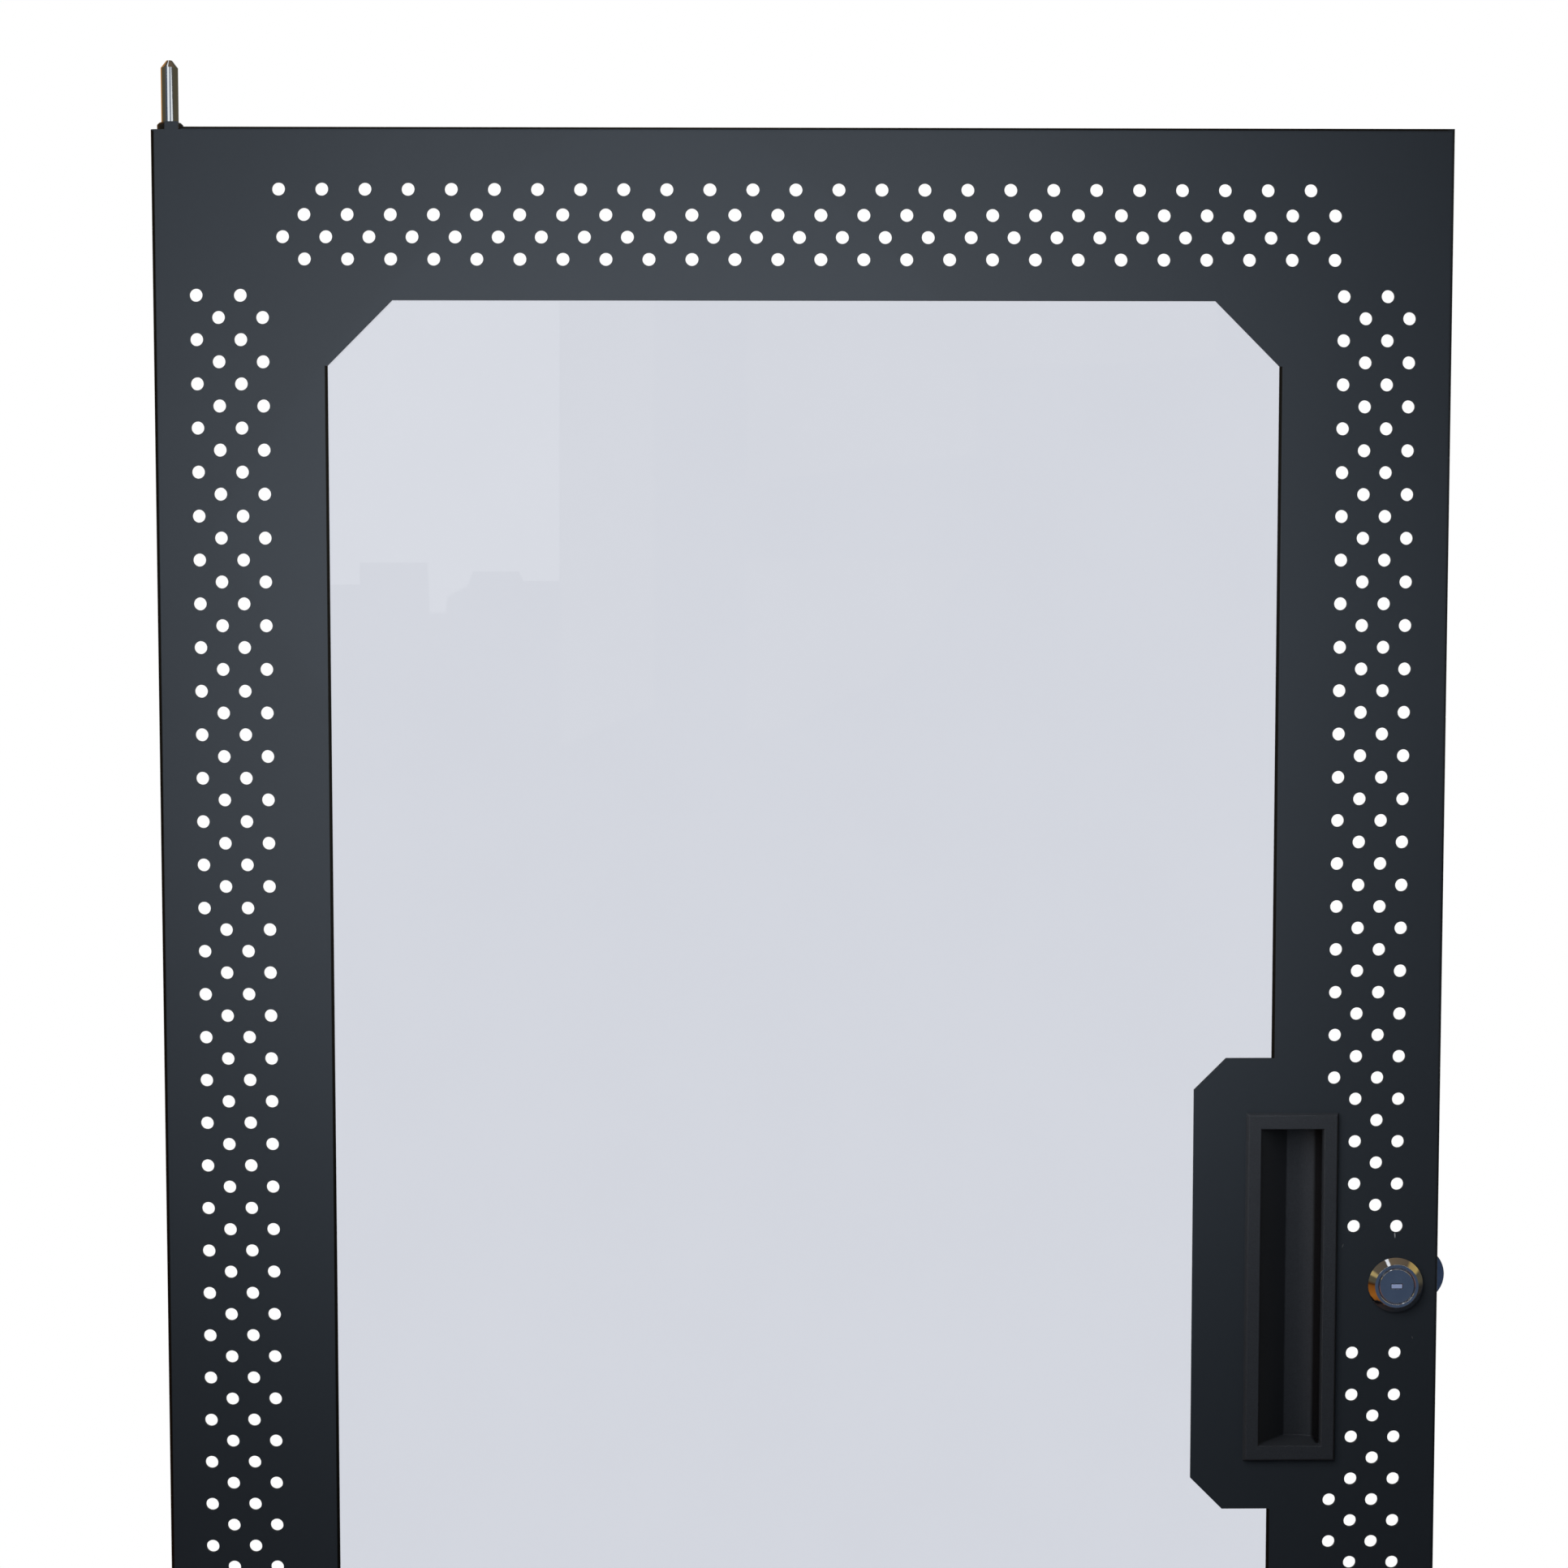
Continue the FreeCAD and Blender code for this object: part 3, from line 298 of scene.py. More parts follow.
def powder_coat():
    """Charcoal powder coat with a fine orange peel, a slight mottle, painted shade on the hems and bends,
    and three pale flecks by the lock.
    """
    material, tree, shader = new_material("powder_coat")
    mottle = noise(tree, 160 * MM, 3)
    colour = shades(tree, mottle, (0.0320, 0.0390, 0.0482), (0.0336, 0.0410, 0.0506))
    # Painted shade: the hems, the hinge-side bend and the rim of the top bend are darkened in the colour
    # itself.
    colour = mixed(tree, painted_bend_shade(tree), colour, BEND_SHADE_COLOUR)
    # Three small pale flecks mixed into the colour by the lock.
    for spot, half_size, tilt, fleck_colour in FLECKS:
        colour = mixed(tree, fleck(tree, spot, half_size, tilt), colour, fleck_colour)
    feed(
        tree, shader,
        Base_Color=colour,
        Roughness=spread(tree, noise(tree, 2.5 * MM), 0.46, 0.56),
        Specular_IOR_Level=0.2,
        Normal=relief(tree, noise(tree, 0.9 * MM, 3), 0.05 * MM, 0.6),
    )
    return material


def tinted_acrylic():
    """Clear sheet with a pale grey tint and faint smears in its gloss."""
    material, tree, shader = new_material("tinted_acrylic")
    smear = noise(tree, 60 * MM, 4)
    feed(
        tree, shader,
        Base_Color=shades(tree, smear, (0.700, 0.722, 0.785), (0.708, 0.730, 0.793)),
        Roughness=spread(tree, smear, 0.0, 0.02),
        Transmission_Weight=1.0,
        IOR=1.49,
    )
    return material


def painted_pocket_shade(tree):
    """One on the steep inner side of the pull's finger hold, which runs round a trough, where shade is
    painted.
    """
    low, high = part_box("flush_pull")
    middle = (low.x + high.x) / 2
    trough = (middle + 6.55 * MM, FRONT + 4.2 * MM, 0)
    radius, blend = 12.1 * MM, 0.3 * MM
    x, y, _ = object_axes(tree)
    section = node(tree, "CombineXYZ", X=x, Y=y).outputs["Vector"]
    inside = remap(tree, distance(tree, section, trough), radius + blend, radius - blend)
    beside = remap(tree, x, middle + 12.6 * MM, middle + 13.8 * MM)
    behind = remap(tree, y, FRONT + 1.8 * MM, FRONT + 2.4 * MM)
    return multiplied(tree, inside, beside, behind)


def black_moulding():
    """Dark plastic with a fine spark-eroded texture, with painted shade on the steep inner side of the
    finger hold.
    """
    material, tree, shader = new_material("black_moulding")
    grain = noise(tree, 0.7 * MM, 4)
    colour = shades(tree, grain, (0.034, 0.038, 0.045), (0.044, 0.049, 0.058))
    feed(
        tree, shader,
        # Painted shade: the finger hold's steep inner side is darkened in the colour.
        Base_Color=mixed(tree, painted_pocket_shade(tree), colour, (0.006, 0.006, 0.007)),
        Roughness=spread(tree, grain, 0.5, 0.62),
        Specular_IOR_Level=0.35,
        Normal=relief(tree, grain, 0.12 * MM, 0.7),
    )
    return material


def dark_bush():
    """Smooth dark plastic with faint turning marks."""
    material, tree, shader = new_material("dark_bush")
    marks = noise(tree, 0.8 * MM, 2, (0.2, 0.2, 3))
    feed(
        tree, shader,
        Base_Color=shades(tree, marks, (0.012, 0.012, 0.013), (0.020, 0.020, 0.022)),
        Roughness=spread(tree, marks, 0.35, 0.45),
        Normal=relief(tree, marks, 0.03 * MM, 0.4),
    )
    return material


def lock_chrome():
    """Bright plating with faint waves and handling haze."""
    material, tree, shader = new_material("lock_chrome")
    haze = noise(tree, 6 * MM, 3)
    feed(
        tree, shader,
        Base_Color=shades(tree, haze, (0.70, 0.72, 0.76), (0.76, 0.78, 0.81)),
        Roughness=spread(tree, haze, 0.03, 0.07),
        Metallic=1.0,
        Normal=relief(tree, noise(tree, 3 * MM), 0.02 * MM, 0.3),
    )
    return material


def plated_steel():
    """Zinc plate with a bluish cast, drawing lines and dull patches."""
    material, tree, shader = new_material("plated_steel")
    patches = noise(tree, 5 * MM, 4)
    lines = noise(tree, 0.5 * MM, 2, (0.1, 1, 1))
    feed(
        tree, shader,
        Base_Color=shades(tree, patches, (0.30, 0.37, 0.47), (0.42, 0.48, 0.57)),
        Roughness=spread(tree, lines, 0.25, 0.4),
        Metallic=1.0,
        Normal=relief(tree, lines, 0.02 * MM, 0.4),
    )
    return material


def foam_tape():
    """Closed-cell foam."""
    material, tree, shader = new_material("foam_tape")
    bubbles = cells(tree, 0.6 * MM)
    feed(
        tree, shader,
        Base_Color=shades(tree, bubbles, (0.010, 0.010, 0.011), (0.024, 0.024, 0.026)),
        Roughness=spread(tree, bubbles, 0.8, 0.95),
        Normal=relief(tree, bubbles, 0.2 * MM, 0.8),
    )
    return material


FINISHES = {
    "powder_coat": powder_coat(),
    "tinted_acrylic": tinted_acrylic(),
    "black_moulding": black_moulding(),
    "dark_bush": dark_bush(),
    "lock_chrome": lock_chrome(),
    "plated_steel": plated_steel(),
    "foam_tape": foam_tape(),
}
SLOT_OF = {row["node"]: row["material_slot"] for row in frame["record"]["subparts"]}
BODY_OF = {
    member: body for body, members in frame["record"]["behaviour"]["bodies"].items() for member in members
}


# Pieces


def is_square(normal):
    """Whether a face looks straight along an axis."""
    return max(abs(part) for part in normal) > SQUARE_SHARE


def new_piece(name, mesh, replaced, smooth_below=35):
    """A piece that stands for a CAD node, with that node's body and finish."""
    mesh.materials.clear()
    mesh.materials.append(FINISHES[SLOT_OF[replaced]])
    mesh.set_sharp_from_angle(angle=math.radians(smooth_below))
    mesh.polygons.foreach_set("use_smooth", [not is_square(face.normal) for face in mesh.polygons])
    item = bpy.data.objects.new(name, mesh)
    bpy.context.scene.collection.objects.link(item)
    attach(item, BODY_OF[replaced])
    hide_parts(replaced)
    return item


def finished_mesh(name, shape):
    mesh = bpy.data.meshes.new(name)
    shape.to_mesh(mesh)
    shape.free()
    return mesh


def copied(name):
    """The shape of a CAD node, ready to be reworked."""
    shape = bmesh.new()
    shape.from_mesh(frame["nodes"][name].data)
    bmesh.ops.remove_doubles(shape, verts=shape.verts, dist=WELD_DISTANCE)
    bmesh.ops.dissolve_limit(shape, angle_limit=FLAT_ANGLE, verts=shape.verts, edges=shape.edges)
    return shape


def islands(shape):
    """The separate solids in a shape, as lists of vertices."""
    seen = set()
    groups = []
    for first in shape.verts:
        if first in seen:
            continue
        seen.add(first)
        group = [first]
        for vert in group:
            for edge in vert.link_edges:
                other = edge.other_vert(vert)
                if other not in seen:
                    seen.add(other)
                    group.append(other)
        groups.append(group)
    return groups


def extent(group):
    """The low and high corners of some vertices and the middle between them."""
    low = [min(vert.co[i] for vert in group) for i in range(3)]
    high = [max(vert.co[i] for vert in group) for i in range(3)]
    return low, high, [(a + b) / 2 for a, b in zip(low, high)]


def reach_from(centre, axis, vert):
    """How far a vertex lies from a line along an axis."""
    first, second = [i for i in range(3) if i != axis]
    return math.hypot(vert.co[first] - centre[first], vert.co[second] - centre[second])


def swept(shape, columns, closed):
    """Faces between columns of points, each a loop; the ends are capped unless the columns close up."""
    rows = [[shape.verts.new(point) for point in column] for column in columns]
    faces = []
    pairs = zip(rows, rows[1:] + rows[:1]) if closed else zip(rows, rows[1:])
    for first, second in pairs:
        for i in range(len(first)):
            faces.append(shape.faces.new((first[i - 1], second[i - 1], second[i], first[i])))
    if not closed:
        faces.append(shape.faces.new(rows[0]))
        faces.append(shape.faces.new(rows[-1]))
    bmesh.ops.recalc_face_normals(shape, faces=faces)


def place(axis, across, centre, radius, angle, along):
    """A point round a line along an axis; across names the axis where the angle is zero."""
    point = [0.0, 0.0, 0.0]
    point[across] = centre[across] + radius * math.cos(angle)
    point[3 - axis - across] = centre[3 - axis - across] + radius * math.sin(angle)
    point[axis] = along
    return point


def plain_shanks(shape, axis, radius):
    """The plain shanks of a radius: each one's vertices, middle line and ends."""
    found = []
    for group in islands(shape):
        centre = extent(group)[2]
        skin = [vert for vert in group if abs(reach_from(centre, axis, vert) - radius) < SHANK_TOLERANCE]
        low, high, _ = extent(skin)
        found.append((skin, centre, low[axis], high[axis]))
    return found


def thread_ridge(shape, axis, centre, radius, pitch, low, high, steps):
    """A screw thread's ridge that runs out at both ends."""
    root = radius - THREAD_DEPTH * pitch
    foot = root - THREAD_SINK
    count = int((high - low - pitch) / pitch * steps)
    across = (axis + 1) % 3
    columns = []
    for i in range(count + 1):
        angle = 2 * math.pi * i / steps
        along = low + pitch / 2 + pitch * i / steps
        rise = min(1, 2 * i / steps, 2 * (count - i) / steps)
        crest = root + max(rise, THREAD_LEAST_RISE) * (radius - root)
        section = ((foot, -THREAD_FOOT), (crest, -THREAD_CREST), (crest, THREAD_CREST), (foot, THREAD_FOOT))
        columns.append([place(axis, across, centre, far, angle, along + up * pitch) for far, up in section])
    swept(shape, columns, False)


def softened(name, edge_radius, lean=0, thread=None):
    """A CAD node with rounded edges, leant back about its own middle by some degrees, or with a thread.

    A thread is given as its axis, outer radius, pitch and steps in a turn.
    """
    shape = copied(name)
    low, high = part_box(name)
    turn = Matrix.Rotation(-math.radians(lean), 3, "X")
    bmesh.ops.rotate(shape, verts=shape.verts, cent=(low + high) / 2, matrix=turn)
    shanks = []
    if thread:
        axis, radius, pitch, steps = thread
        shanks = plain_shanks(shape, axis, radius)
        keep = 1 - THREAD_DEPTH * pitch / radius
        for skin, centre, _, _ in shanks:
            for vert in skin:
                for i in range(3):
                    if i != axis:
                        vert.co[i] = centre[i] + keep * (vert.co[i] - centre[i])
    sharp = [edge for edge in shape.edges if edge.is_manifold and edge.calc_face_angle() > SHARP_ANGLE]
    bmesh.ops.bevel(
        shape, geom=sharp, offset=edge_radius, segments=2, profile=0.5, affect="EDGES", clamp_overlap=True
    )
    bmesh.ops.triangulate(shape, faces=[face for face in shape.faces if len(face.verts) > 4])
    for _, centre, start, end in shanks:
        thread_ridge(shape, axis, centre, radius, pitch, start, end, steps)
    item = new_piece(f"{name}_soft", finished_mesh(f"{name}_soft", shape), name)
    item.modifiers.new("weighted_normals", "WEIGHTED_NORMAL").keep_sharp = True
    return item


def chamfered_nuts(name):
    """Hex nuts with chamfered corners and countersunk bores, in place of plain prisms."""
    source = copied(name)
    shape = bmesh.new()
    for group in islands(source):
        low, high, centre = extent(group)
        size = [b - a for a, b in zip(low, high)]
        axis, corner = size.index(min(size)), size.index(max(size))
        half = size[3 - axis - corner] / 2
        face = NUT_FACE * half
        bore = min(reach_from(centre, axis, vert) for vert in group)
        mouth = bore + NUT_SINK
        bottom, top = low[axis], high[axis]
        columns = []
        for i in range(NUT_STEPS):
            angle = 2 * math.pi * i / NUT_STEPS
            reach = half / math.cos(angle % (math.pi / 3) - math.pi / 6)
            drop = (reach - face) * math.tan(NUT_CHAMFER)
            profile = [
                (bore, bottom + NUT_SINK), (mouth, bottom), (face, bottom), (reach, bottom + drop),
                (reach, top - drop), (face, top), (mouth, top), (bore, top - NUT_SINK),
            ]
            columns.append([place(axis, corner, centre, radius, angle, along) for radius, along in profile])
        swept(shape, columns, True)
    source.free()
    new_piece(f"{name}_chamfered", finished_mesh(f"{name}_chamfered", shape), name, smooth_below=25)


# Folded sheet


class FoldedSheet:
    """A sheet as pairs of points, one on each side of the gauge; each face has a twin on the other side."""

    def __init__(self):
        self.outside = []
        self.inside = []
        self.faces = []

    def pair(self, outside, inside):
        self.outside.append(outside)
        self.inside.append(inside)
        return len(self.outside) - 1

    def strip(self, first, second):
        """Faces between two columns of pairs."""
        for i in range(len(first) - 1):
            self.faces.append((first[i], second[i], second[i + 1], first[i + 1]))

    def mesh(self, name):
        count = len(self.outside)
        faces = list(self.faces)
        faces += [tuple(count + i for i in reversed(face)) for face in self.faces]
        sides = {}
        for face in self.faces:
            for i, start in enumerate(face):
                sides[(start, face[(i + 1) % len(face)])] = True
        for start, end in sides:
            if (end, start) not in sides:
                faces.append((end, start, count + start, count + end))
        mesh = bpy.data.meshes.new(name)
        mesh.from_pydata(self.outside + self.inside, [], faces)
        shape = bmesh.new()
        shape.from_mesh(mesh)
        bmesh.ops.recalc_face_normals(shape, faces=shape.faces)
        shape.to_mesh(mesh)
        shape.free()
        return mesh


def ring_points(x, z, radius, steps):
    turn = 2 * math.pi / steps
    return [(x + radius * math.cos(i * turn), z + radius * math.sin(i * turn)) for i in range(steps)]


def hole_spots():
    """Four staggered columns up each stile and four rows on each rail, clear of the pull and the lock."""
    spots = []
    levels = [COLUMN_MIDDLE + i * HOLE_PITCH for i in range(-SIDE_HOLES, SIDE_HOLES + 1)]
    half_levels = [level + HOLE_PITCH / 2 for level in levels[:-1]]

    def column(x, heights, skip):
        spots.extend((x, z) for z in heights if abs(z - COLUMN_MIDDLE) > (skip - SKIP_MARGIN) * HOLE_PITCH)

    left = HINGE_EDGE + COLUMN_INSET
    right = LOCK_EDGE - COLUMN_INSET
    for shift in (0, HOLE_PITCH):
        column(left + shift, levels, 0)
        column(left + shift + HOLE_PITCH / 2, half_levels, 0)
        column(right - shift, half_levels, LOCK_HALF_SKIP + 0.5)
    column(right - HOLE_PITCH / 2, levels, LOCK_SKIP)
    column(right - 3 * HOLE_PITCH / 2, levels, PULL_SKIP)

    first = CENTRE - (ROW_HOLES - 1) * ROW_PITCH / 2
    for shift, inset in ROWS:
        for i in range(ROW_HOLES):
            x = first + shift + i * ROW_PITCH
            spots.append((x, TOP - inset))
            spots.append((x, BOTTOM + inset))
    return spots


def within(points, loop):
    """Which of many points lie inside a closed outline."""
    inside = np.zeros(len(points), bool)
    x, z = points[:, 0], points[:, 1]
    for i, (x0, z0) in enumerate(loop):
        x1, z1 = loop[i - 1]
        if z0 == z1:
            continue
        crosses = (z0 > z) != (z1 > z)
        inside ^= crosses & (x < (x1 - x0) * (z - z0) / (z1 - z0) + x0)
    return inside


def flat_sheet(outer, cutouts, rounds):
    """Triangles of a flat sheet in X and Z, with straight-sided cut-outs and round holes."""
    loops = [outer, *cutouts, *rounds]
    points = []
    edges = []
    owner = []
    for which, loop in enumerate(loops):
        start = len(points)
        points.extend(Vector(point) / MM for point in loop)
        edges.extend((start + i, start + (i + 1) % len(loop)) for i in range(len(loop)))
        owner.extend([which] * len(loop))
    found = delaunay_2d_cdt(points, edges, [], 0, 1e-6)
    spots = np.array([tuple(point) for point in found[0]]) * MM
    loop_of = [owner[sources[0]] if sources else -1 for sources in found[3]]
    triangles = np.array([tuple(face) for face in found[2]])
    middles = spots[triangles].mean(axis=1)
    keep = within(middles, outer)
    for loop in cutouts:
        keep &= ~within(middles, loop)
    first_round = 1 + len(cutouts)
    for i, (a, b, c) in enumerate(triangles):
        if loop_of[a] >= first_round and loop_of[a] == loop_of[b] == loop_of[c]:
            keep[i] = False
    return spots, triangles[keep]


def door_sheet():
    """The folded sheet: front, return flanges, hemmed window edges and the perforated border."""
    notch_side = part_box("hinge_bush_top")[1].x + NOTCH_GAP
    left, right = HINGE_EDGE + BEND_RADIUS, LOCK_EDGE - BEND_RADIUS
    low, high = BOTTOM + BEND_RADIUS, TOP - BEND_RADIUS
    notch_low, notch_high = BOTTOM + NOTCH_DEPTH, TOP - NOTCH_DEPTH
    outer = [
        (left, notch_low), (notch_side, notch_low), (notch_side, low), (right, low),
        (right, high), (notch_side, high), (notch_side, notch_high),
        (GUARD_RIGHT, notch_high), (GUARD_RIGHT, SHEET_HIGH.z), (GUARD_LEFT, SHEET_HIGH.z),
        (GUARD_LEFT, notch_high), (left, notch_high),
    ]

    window_left, window_right = HINGE_EDGE + STILE, LOCK_EDGE - STILE
    window_low, window_high = BOTTOM + RAIL, TOP - RAIL
    hem_low, hem_high = window_low + WINDOW_CHAMFER, window_high - WINDOW_CHAMFER
    tab_left = window_right - TAB_REACH
    tab_low, tab_high = MIDDLE - TAB_HEIGHT / 2, MIDDLE + TAB_HEIGHT / 2
    hem_left, hem_right = window_left - HEM_RADIUS, window_right + HEM_RADIUS
    window = [
        (window_left + WINDOW_CHAMFER, window_low), (window_right - WINDOW_CHAMFER, window_low),
        (window_right, hem_low), (hem_right, hem_low), (hem_right, tab_low),
        (tab_left + TAB_CHAMFER, tab_low), (tab_left, tab_low + TAB_CHAMFER),
        (tab_left, tab_high - TAB_CHAMFER), (tab_left + TAB_CHAMFER, tab_high),
        (hem_right, tab_high), (hem_right, hem_high), (window_right, hem_high),
        (window_right - WINDOW_CHAMFER, window_high), (window_left + WINDOW_CHAMFER, window_high),
        (window_left, hem_high), (hem_left, hem_high), (hem_left, hem_low), (window_left, hem_low),
    ]

    pull_low, pull_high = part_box("flush_pull")
    pull_left, pull_right = pull_low.x + PULL_CUT_INSET, pull_high.x - PULL_CUT_INSET / 2
    pull_bottom, pull_top = pull_low.z + PULL_CUT_INSET, pull_high.z - PULL_CUT_INSET
    pull = [
        (pull_left, pull_bottom), (pull_right, pull_bottom), (pull_right, pull_top), (pull_left, pull_top),
    ]
    lock_low, lock_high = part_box("lock_housing")
    lock_x = (lock_low.x + lock_high.x) / 2
    barrel = ring_points(lock_x, MIDDLE, BARREL_HOLE_RADIUS, BARREL_HOLE_STEPS)
    holes = [ring_points(x, z, HOLE_RADIUS, HOLE_STEPS) for x, z in hole_spots()]

    spots, triangles = flat_sheet(outer, [window, pull], [barrel, *holes])
    sheet = FoldedSheet()
    index = {}
    for x, z in spots:
        index[(round(x, 6), round(z, 6))] = sheet.pair((x, FRONT, z), (x, FRONT + GAUGE, z))
    sheet.faces.extend(tuple(int(i) for i in triangle) for triangle in triangles)

    def fold(x, z, across, up, centre_depth, radius, turn, steps, run):
        """A column of pairs bent back from an edge point and then run on, to a depth or to a width."""
        column = [index[(round(x, 6), round(z, 6))]]
        inner = radius - GAUGE
        for i in range(1, steps + 1):
            angle = turn * i / steps
            out, into = radius * math.sin(angle), inner * math.sin(angle)
            column.append(sheet.pair(
                (x + across * out, centre_depth - radius * math.cos(angle), z + up * out),
                (x + across * into, centre_depth - inner * math.cos(angle), z + up * into),
            ))
        end_out, end_in = sheet.outside[column[-1]], sheet.inside[column[-1]]
        column.append(sheet.pair(run(end_out), run(end_in)))
        return column

    def flange(x, z, across, up):
        return fold(
            x, z, across, up, FRONT + BEND_RADIUS, BEND_RADIUS, math.pi / 2, BEND_STEPS,
            lambda point: (point[0], REAR, point[2]),
        )

    top_right = flange(right, high, 1, 1)
    low_right = flange(right, low, 1, -1)
    sheet.strip(top_right, flange(notch_side, high, 0, 1))
    sheet.strip(flange(notch_side, low, 0, -1), low_right)
    sheet.strip(low_right, top_right)
    sheet.strip(flange(left, notch_high, -1, 0), flange(left, notch_low, -1, 0))

    def hem(x, z, across):
        leaf = across * (HEM_WIDTH - HEM_RADIUS)
        return fold(
            x, z, across, 0, FRONT + HEM_RADIUS, HEM_RADIUS, math.pi, HEM_STEPS,
            lambda point: (x - leaf, point[1], point[2]),
        )

    sheet.strip(hem(hem_left, hem_low, 1), hem(hem_left, hem_high, 1))
    sheet.strip(hem(hem_right, tab_low, -1), hem(hem_right, hem_low, -1))
    sheet.strip(hem(hem_right, hem_high, -1), hem(hem_right, tab_high, -1))
    return new_piece("door_sheet", sheet.mesh("door_sheet"), "door_skin", smooth_below=25)


# Spring


def coil_spring():
    """A compression spring of round wire with closed ends, which the sliding pin squeezes."""
    low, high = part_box("pin_spring")
    wire = 0.5 * MM
    coil = (high.x - low.x) / 2 - wire
    turns, steps, sides = 9, 28, 10
    closed = 1.0
    open_turns = turns - 2 * closed
    open_height = (high.z - low.z) - 2 * wire - 2 * closed * 2 * wire
    points = []
    for i in range(turns * steps + 1):
        turn = i / steps
        lead = wire * 2 * min(turn, closed)
        rest = wire * 2 * max(0, turn - (turns - closed))
        open_share = min(max(turn - closed, 0), open_turns) / open_turns
        points.append((2 * math.pi * turn, low.z + wire + lead + open_share * open_height + rest))
    verts = []
    for angle, height in points:
        for side in range(sides):
            around = 2 * math.pi * side / sides
            radius = coil + wire * math.cos(around)
            level = height + wire * math.sin(around)
            verts.append((radius * math.cos(angle), radius * math.sin(angle), level))
    faces = []
    for i in range(len(points) - 1):
        for side in range(sides):
            after = (side + 1) % sides
            a, b = i * sides, (i + 1) * sides
            faces.append((a + side, b + side, b + after, a + after))
    faces.append(tuple(range(sides)))
    faces.append(tuple(reversed(range(len(verts) - sides, len(verts)))))
    mesh = bpy.data.meshes.new("coil_spring")
    mesh.from_pydata(verts, [], faces)
    item = new_piece("coil_spring", mesh, "pin_spring", smooth_below=60)
    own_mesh(item)
    return item


door_sheet()
coil_spring()
EDGE_RADII = {
    "flush_pull": 0.5 * MM,
    "lock_washer": 0.15 * MM,
    "lock_plug": 0.08 * MM,
    "lock_cam": 0.2 * MM,
    "cam_washer": 0.15 * MM,
    "cam_screw": 0.2 * MM,
    "pane_washers": 0.12 * MM,
    "pane_foam_tape": 0.2 * MM,
    "hinge_bracket_top": 0.25 * MM,
    "hinge_bracket_bottom": 0.25 * MM,
    "hinge_bush_top": 0.2 * MM,
    "hinge_bush_bottom": 0.2 * MM,
    "hinge_pin_top": 0.2 * MM,
    "pin_clip": 0.1 * MM,
    "release_knob": 0.5 * MM,
}
for part, radius in EDGE_RADII.items():
    softened(part, radius)
softened("key_shutter", 0.05 * MM, lean=4)
softened("lock_housing", 0.12 * MM, thread=(1, 9.5 * MM, 1.0 * MM, 72))
softened("pane_weld_studs", 0.2 * MM, thread=(1, 2 * MM, 0.7 * MM, 24))
softened("hinge_pin_bottom", 0.2 * MM, thread=(2, 3 * MM, 1.0 * MM, 36))
for part in ("lock_nut", "pane_nuts", "pin_nut_bottom"):
    chamfered_nuts(part)
softened("acrylic_pane", 0.2 * MM).visible_shadow = False


# Stage and light

# Cards that only mirrors show, far behind the camera: name, colour and outline across and up.
OUTDOORS_DEPTH = -2.0
OUTDOORS = [
    ("sky", (0.921, 0.95, 0.95), [
        (-0.229, 1.219), (0.055, 1.219), (0.053, 0.875), (0.012, 0.875), (0.007, 0.886), (-0.046, 0.886),
        (-0.051, 0.870), (-0.074, 0.858), (-0.077, 0.839), (-0.095, 0.839), (-0.097, 0.896), (-0.174, 0.896),
        (-0.174, 0.871), (-0.233, 0.871),
    ]),
    ("house_side", (0.233, 0.24, 0.24), [(0.056, 1.219), (0.162, 1.219), (0.160, 0.733), (0.053, 0.686)]),
    ("house_front", (0.194, 0.2, 0.2), [
        (0.266, 1.220), (0.800, 1.220), (0.801, 1.129), (0.529, 1.115), (0.529, 1.019), (0.266, 0.987),
    ]),
    ("sky_high_left", (0.97, 1.0, 1.0), [(-1.05, 1.52), (0.385, 1.52), (0.385, 1.34), (-1.05, 1.34)]),
    ("sky_high_right", (0.97, 1.0, 1.0), [(0.824, 1.52), (2.34, 1.52), (2.34, 1.34), (0.824, 1.34)]),
    ("sky_low", (0.28, 0.33, 0.50), [(0.92, 0.45), (1.15, 0.45), (1.15, 0.25), (0.92, 0.25)]),
    ("house_foot", (0.165, 0.17, 0.17), [
        (0.266, 0.899), (0.525, 0.899), (0.433, 0.770), (0.303, 0.705), (0.266, 0.705),
    ]),
]
# Cards close behind the upper hinge pin, which its edges mirror.
PIN_CARDS_DEPTH = 0.15
PIN_CARDS = [
    ("pin_card_left", (0.50, 0.23, 0.06), [(-0.4, 1.5), (-0.06, 1.5), (-0.06, 1.1), (-0.4, 1.1)]),
    ("pin_card_right", (0.095, 0.083, 0.052), [(0.06, 1.5), (0.4, 1.5), (0.4, 1.1), (0.06, 1.1)]),
]
# What stands round the door, as mirrors show it, by degrees from the right over the top to the left.
WALLS = [
    (-180, (0.095, 0.083, 0.052)),
    (-172, (0.06, 0.02, 0.004)),
    (-166, (0.20, 0.065, 0.010)),
    (-140, (0.34, 0.115, 0.016)),
    (-105, (0.12, 0.045, 0.010)),
    (-80, (0.03, 0.022, 0.016)),
    (-15, (0.03, 0.028, 0.026)),
    (-5, (0.095, 0.083, 0.052)),
    (12, (0.095, 0.083, 0.052)),
    (18, (0.50, 0.36, 0.12)),
    (38, (0.42, 0.29, 0.10)),
    (46, (0.12, 0.09, 0.06)),
    (98, (0.17, 0.125, 0.08)),
    (100, (1.0, 1.0, 1.0)),
    (107, (1.0, 1.0, 1.0)),
    (109, (0.10, 0.08, 0.06)),
    (150, (0.12, 0.095, 0.065)),
    (156, (0.48, 0.36, 0.15)),
    (163, (0.48, 0.36, 0.15)),
    (168, (0.095, 0.083, 0.052)),
    (180, (0.095, 0.083, 0.052)),
]
# What mirrors show before and behind the door: where along Y it starts and is full, and its colour.
ROOM_ENDS = [
    (-0.5, -0.85, (0.055, 0.078, 0.125)),
    (0.5, 0.7, (0.4, 0.41, 0.42)),
    (0.9, 0.97, (1, 1, 1)),
]
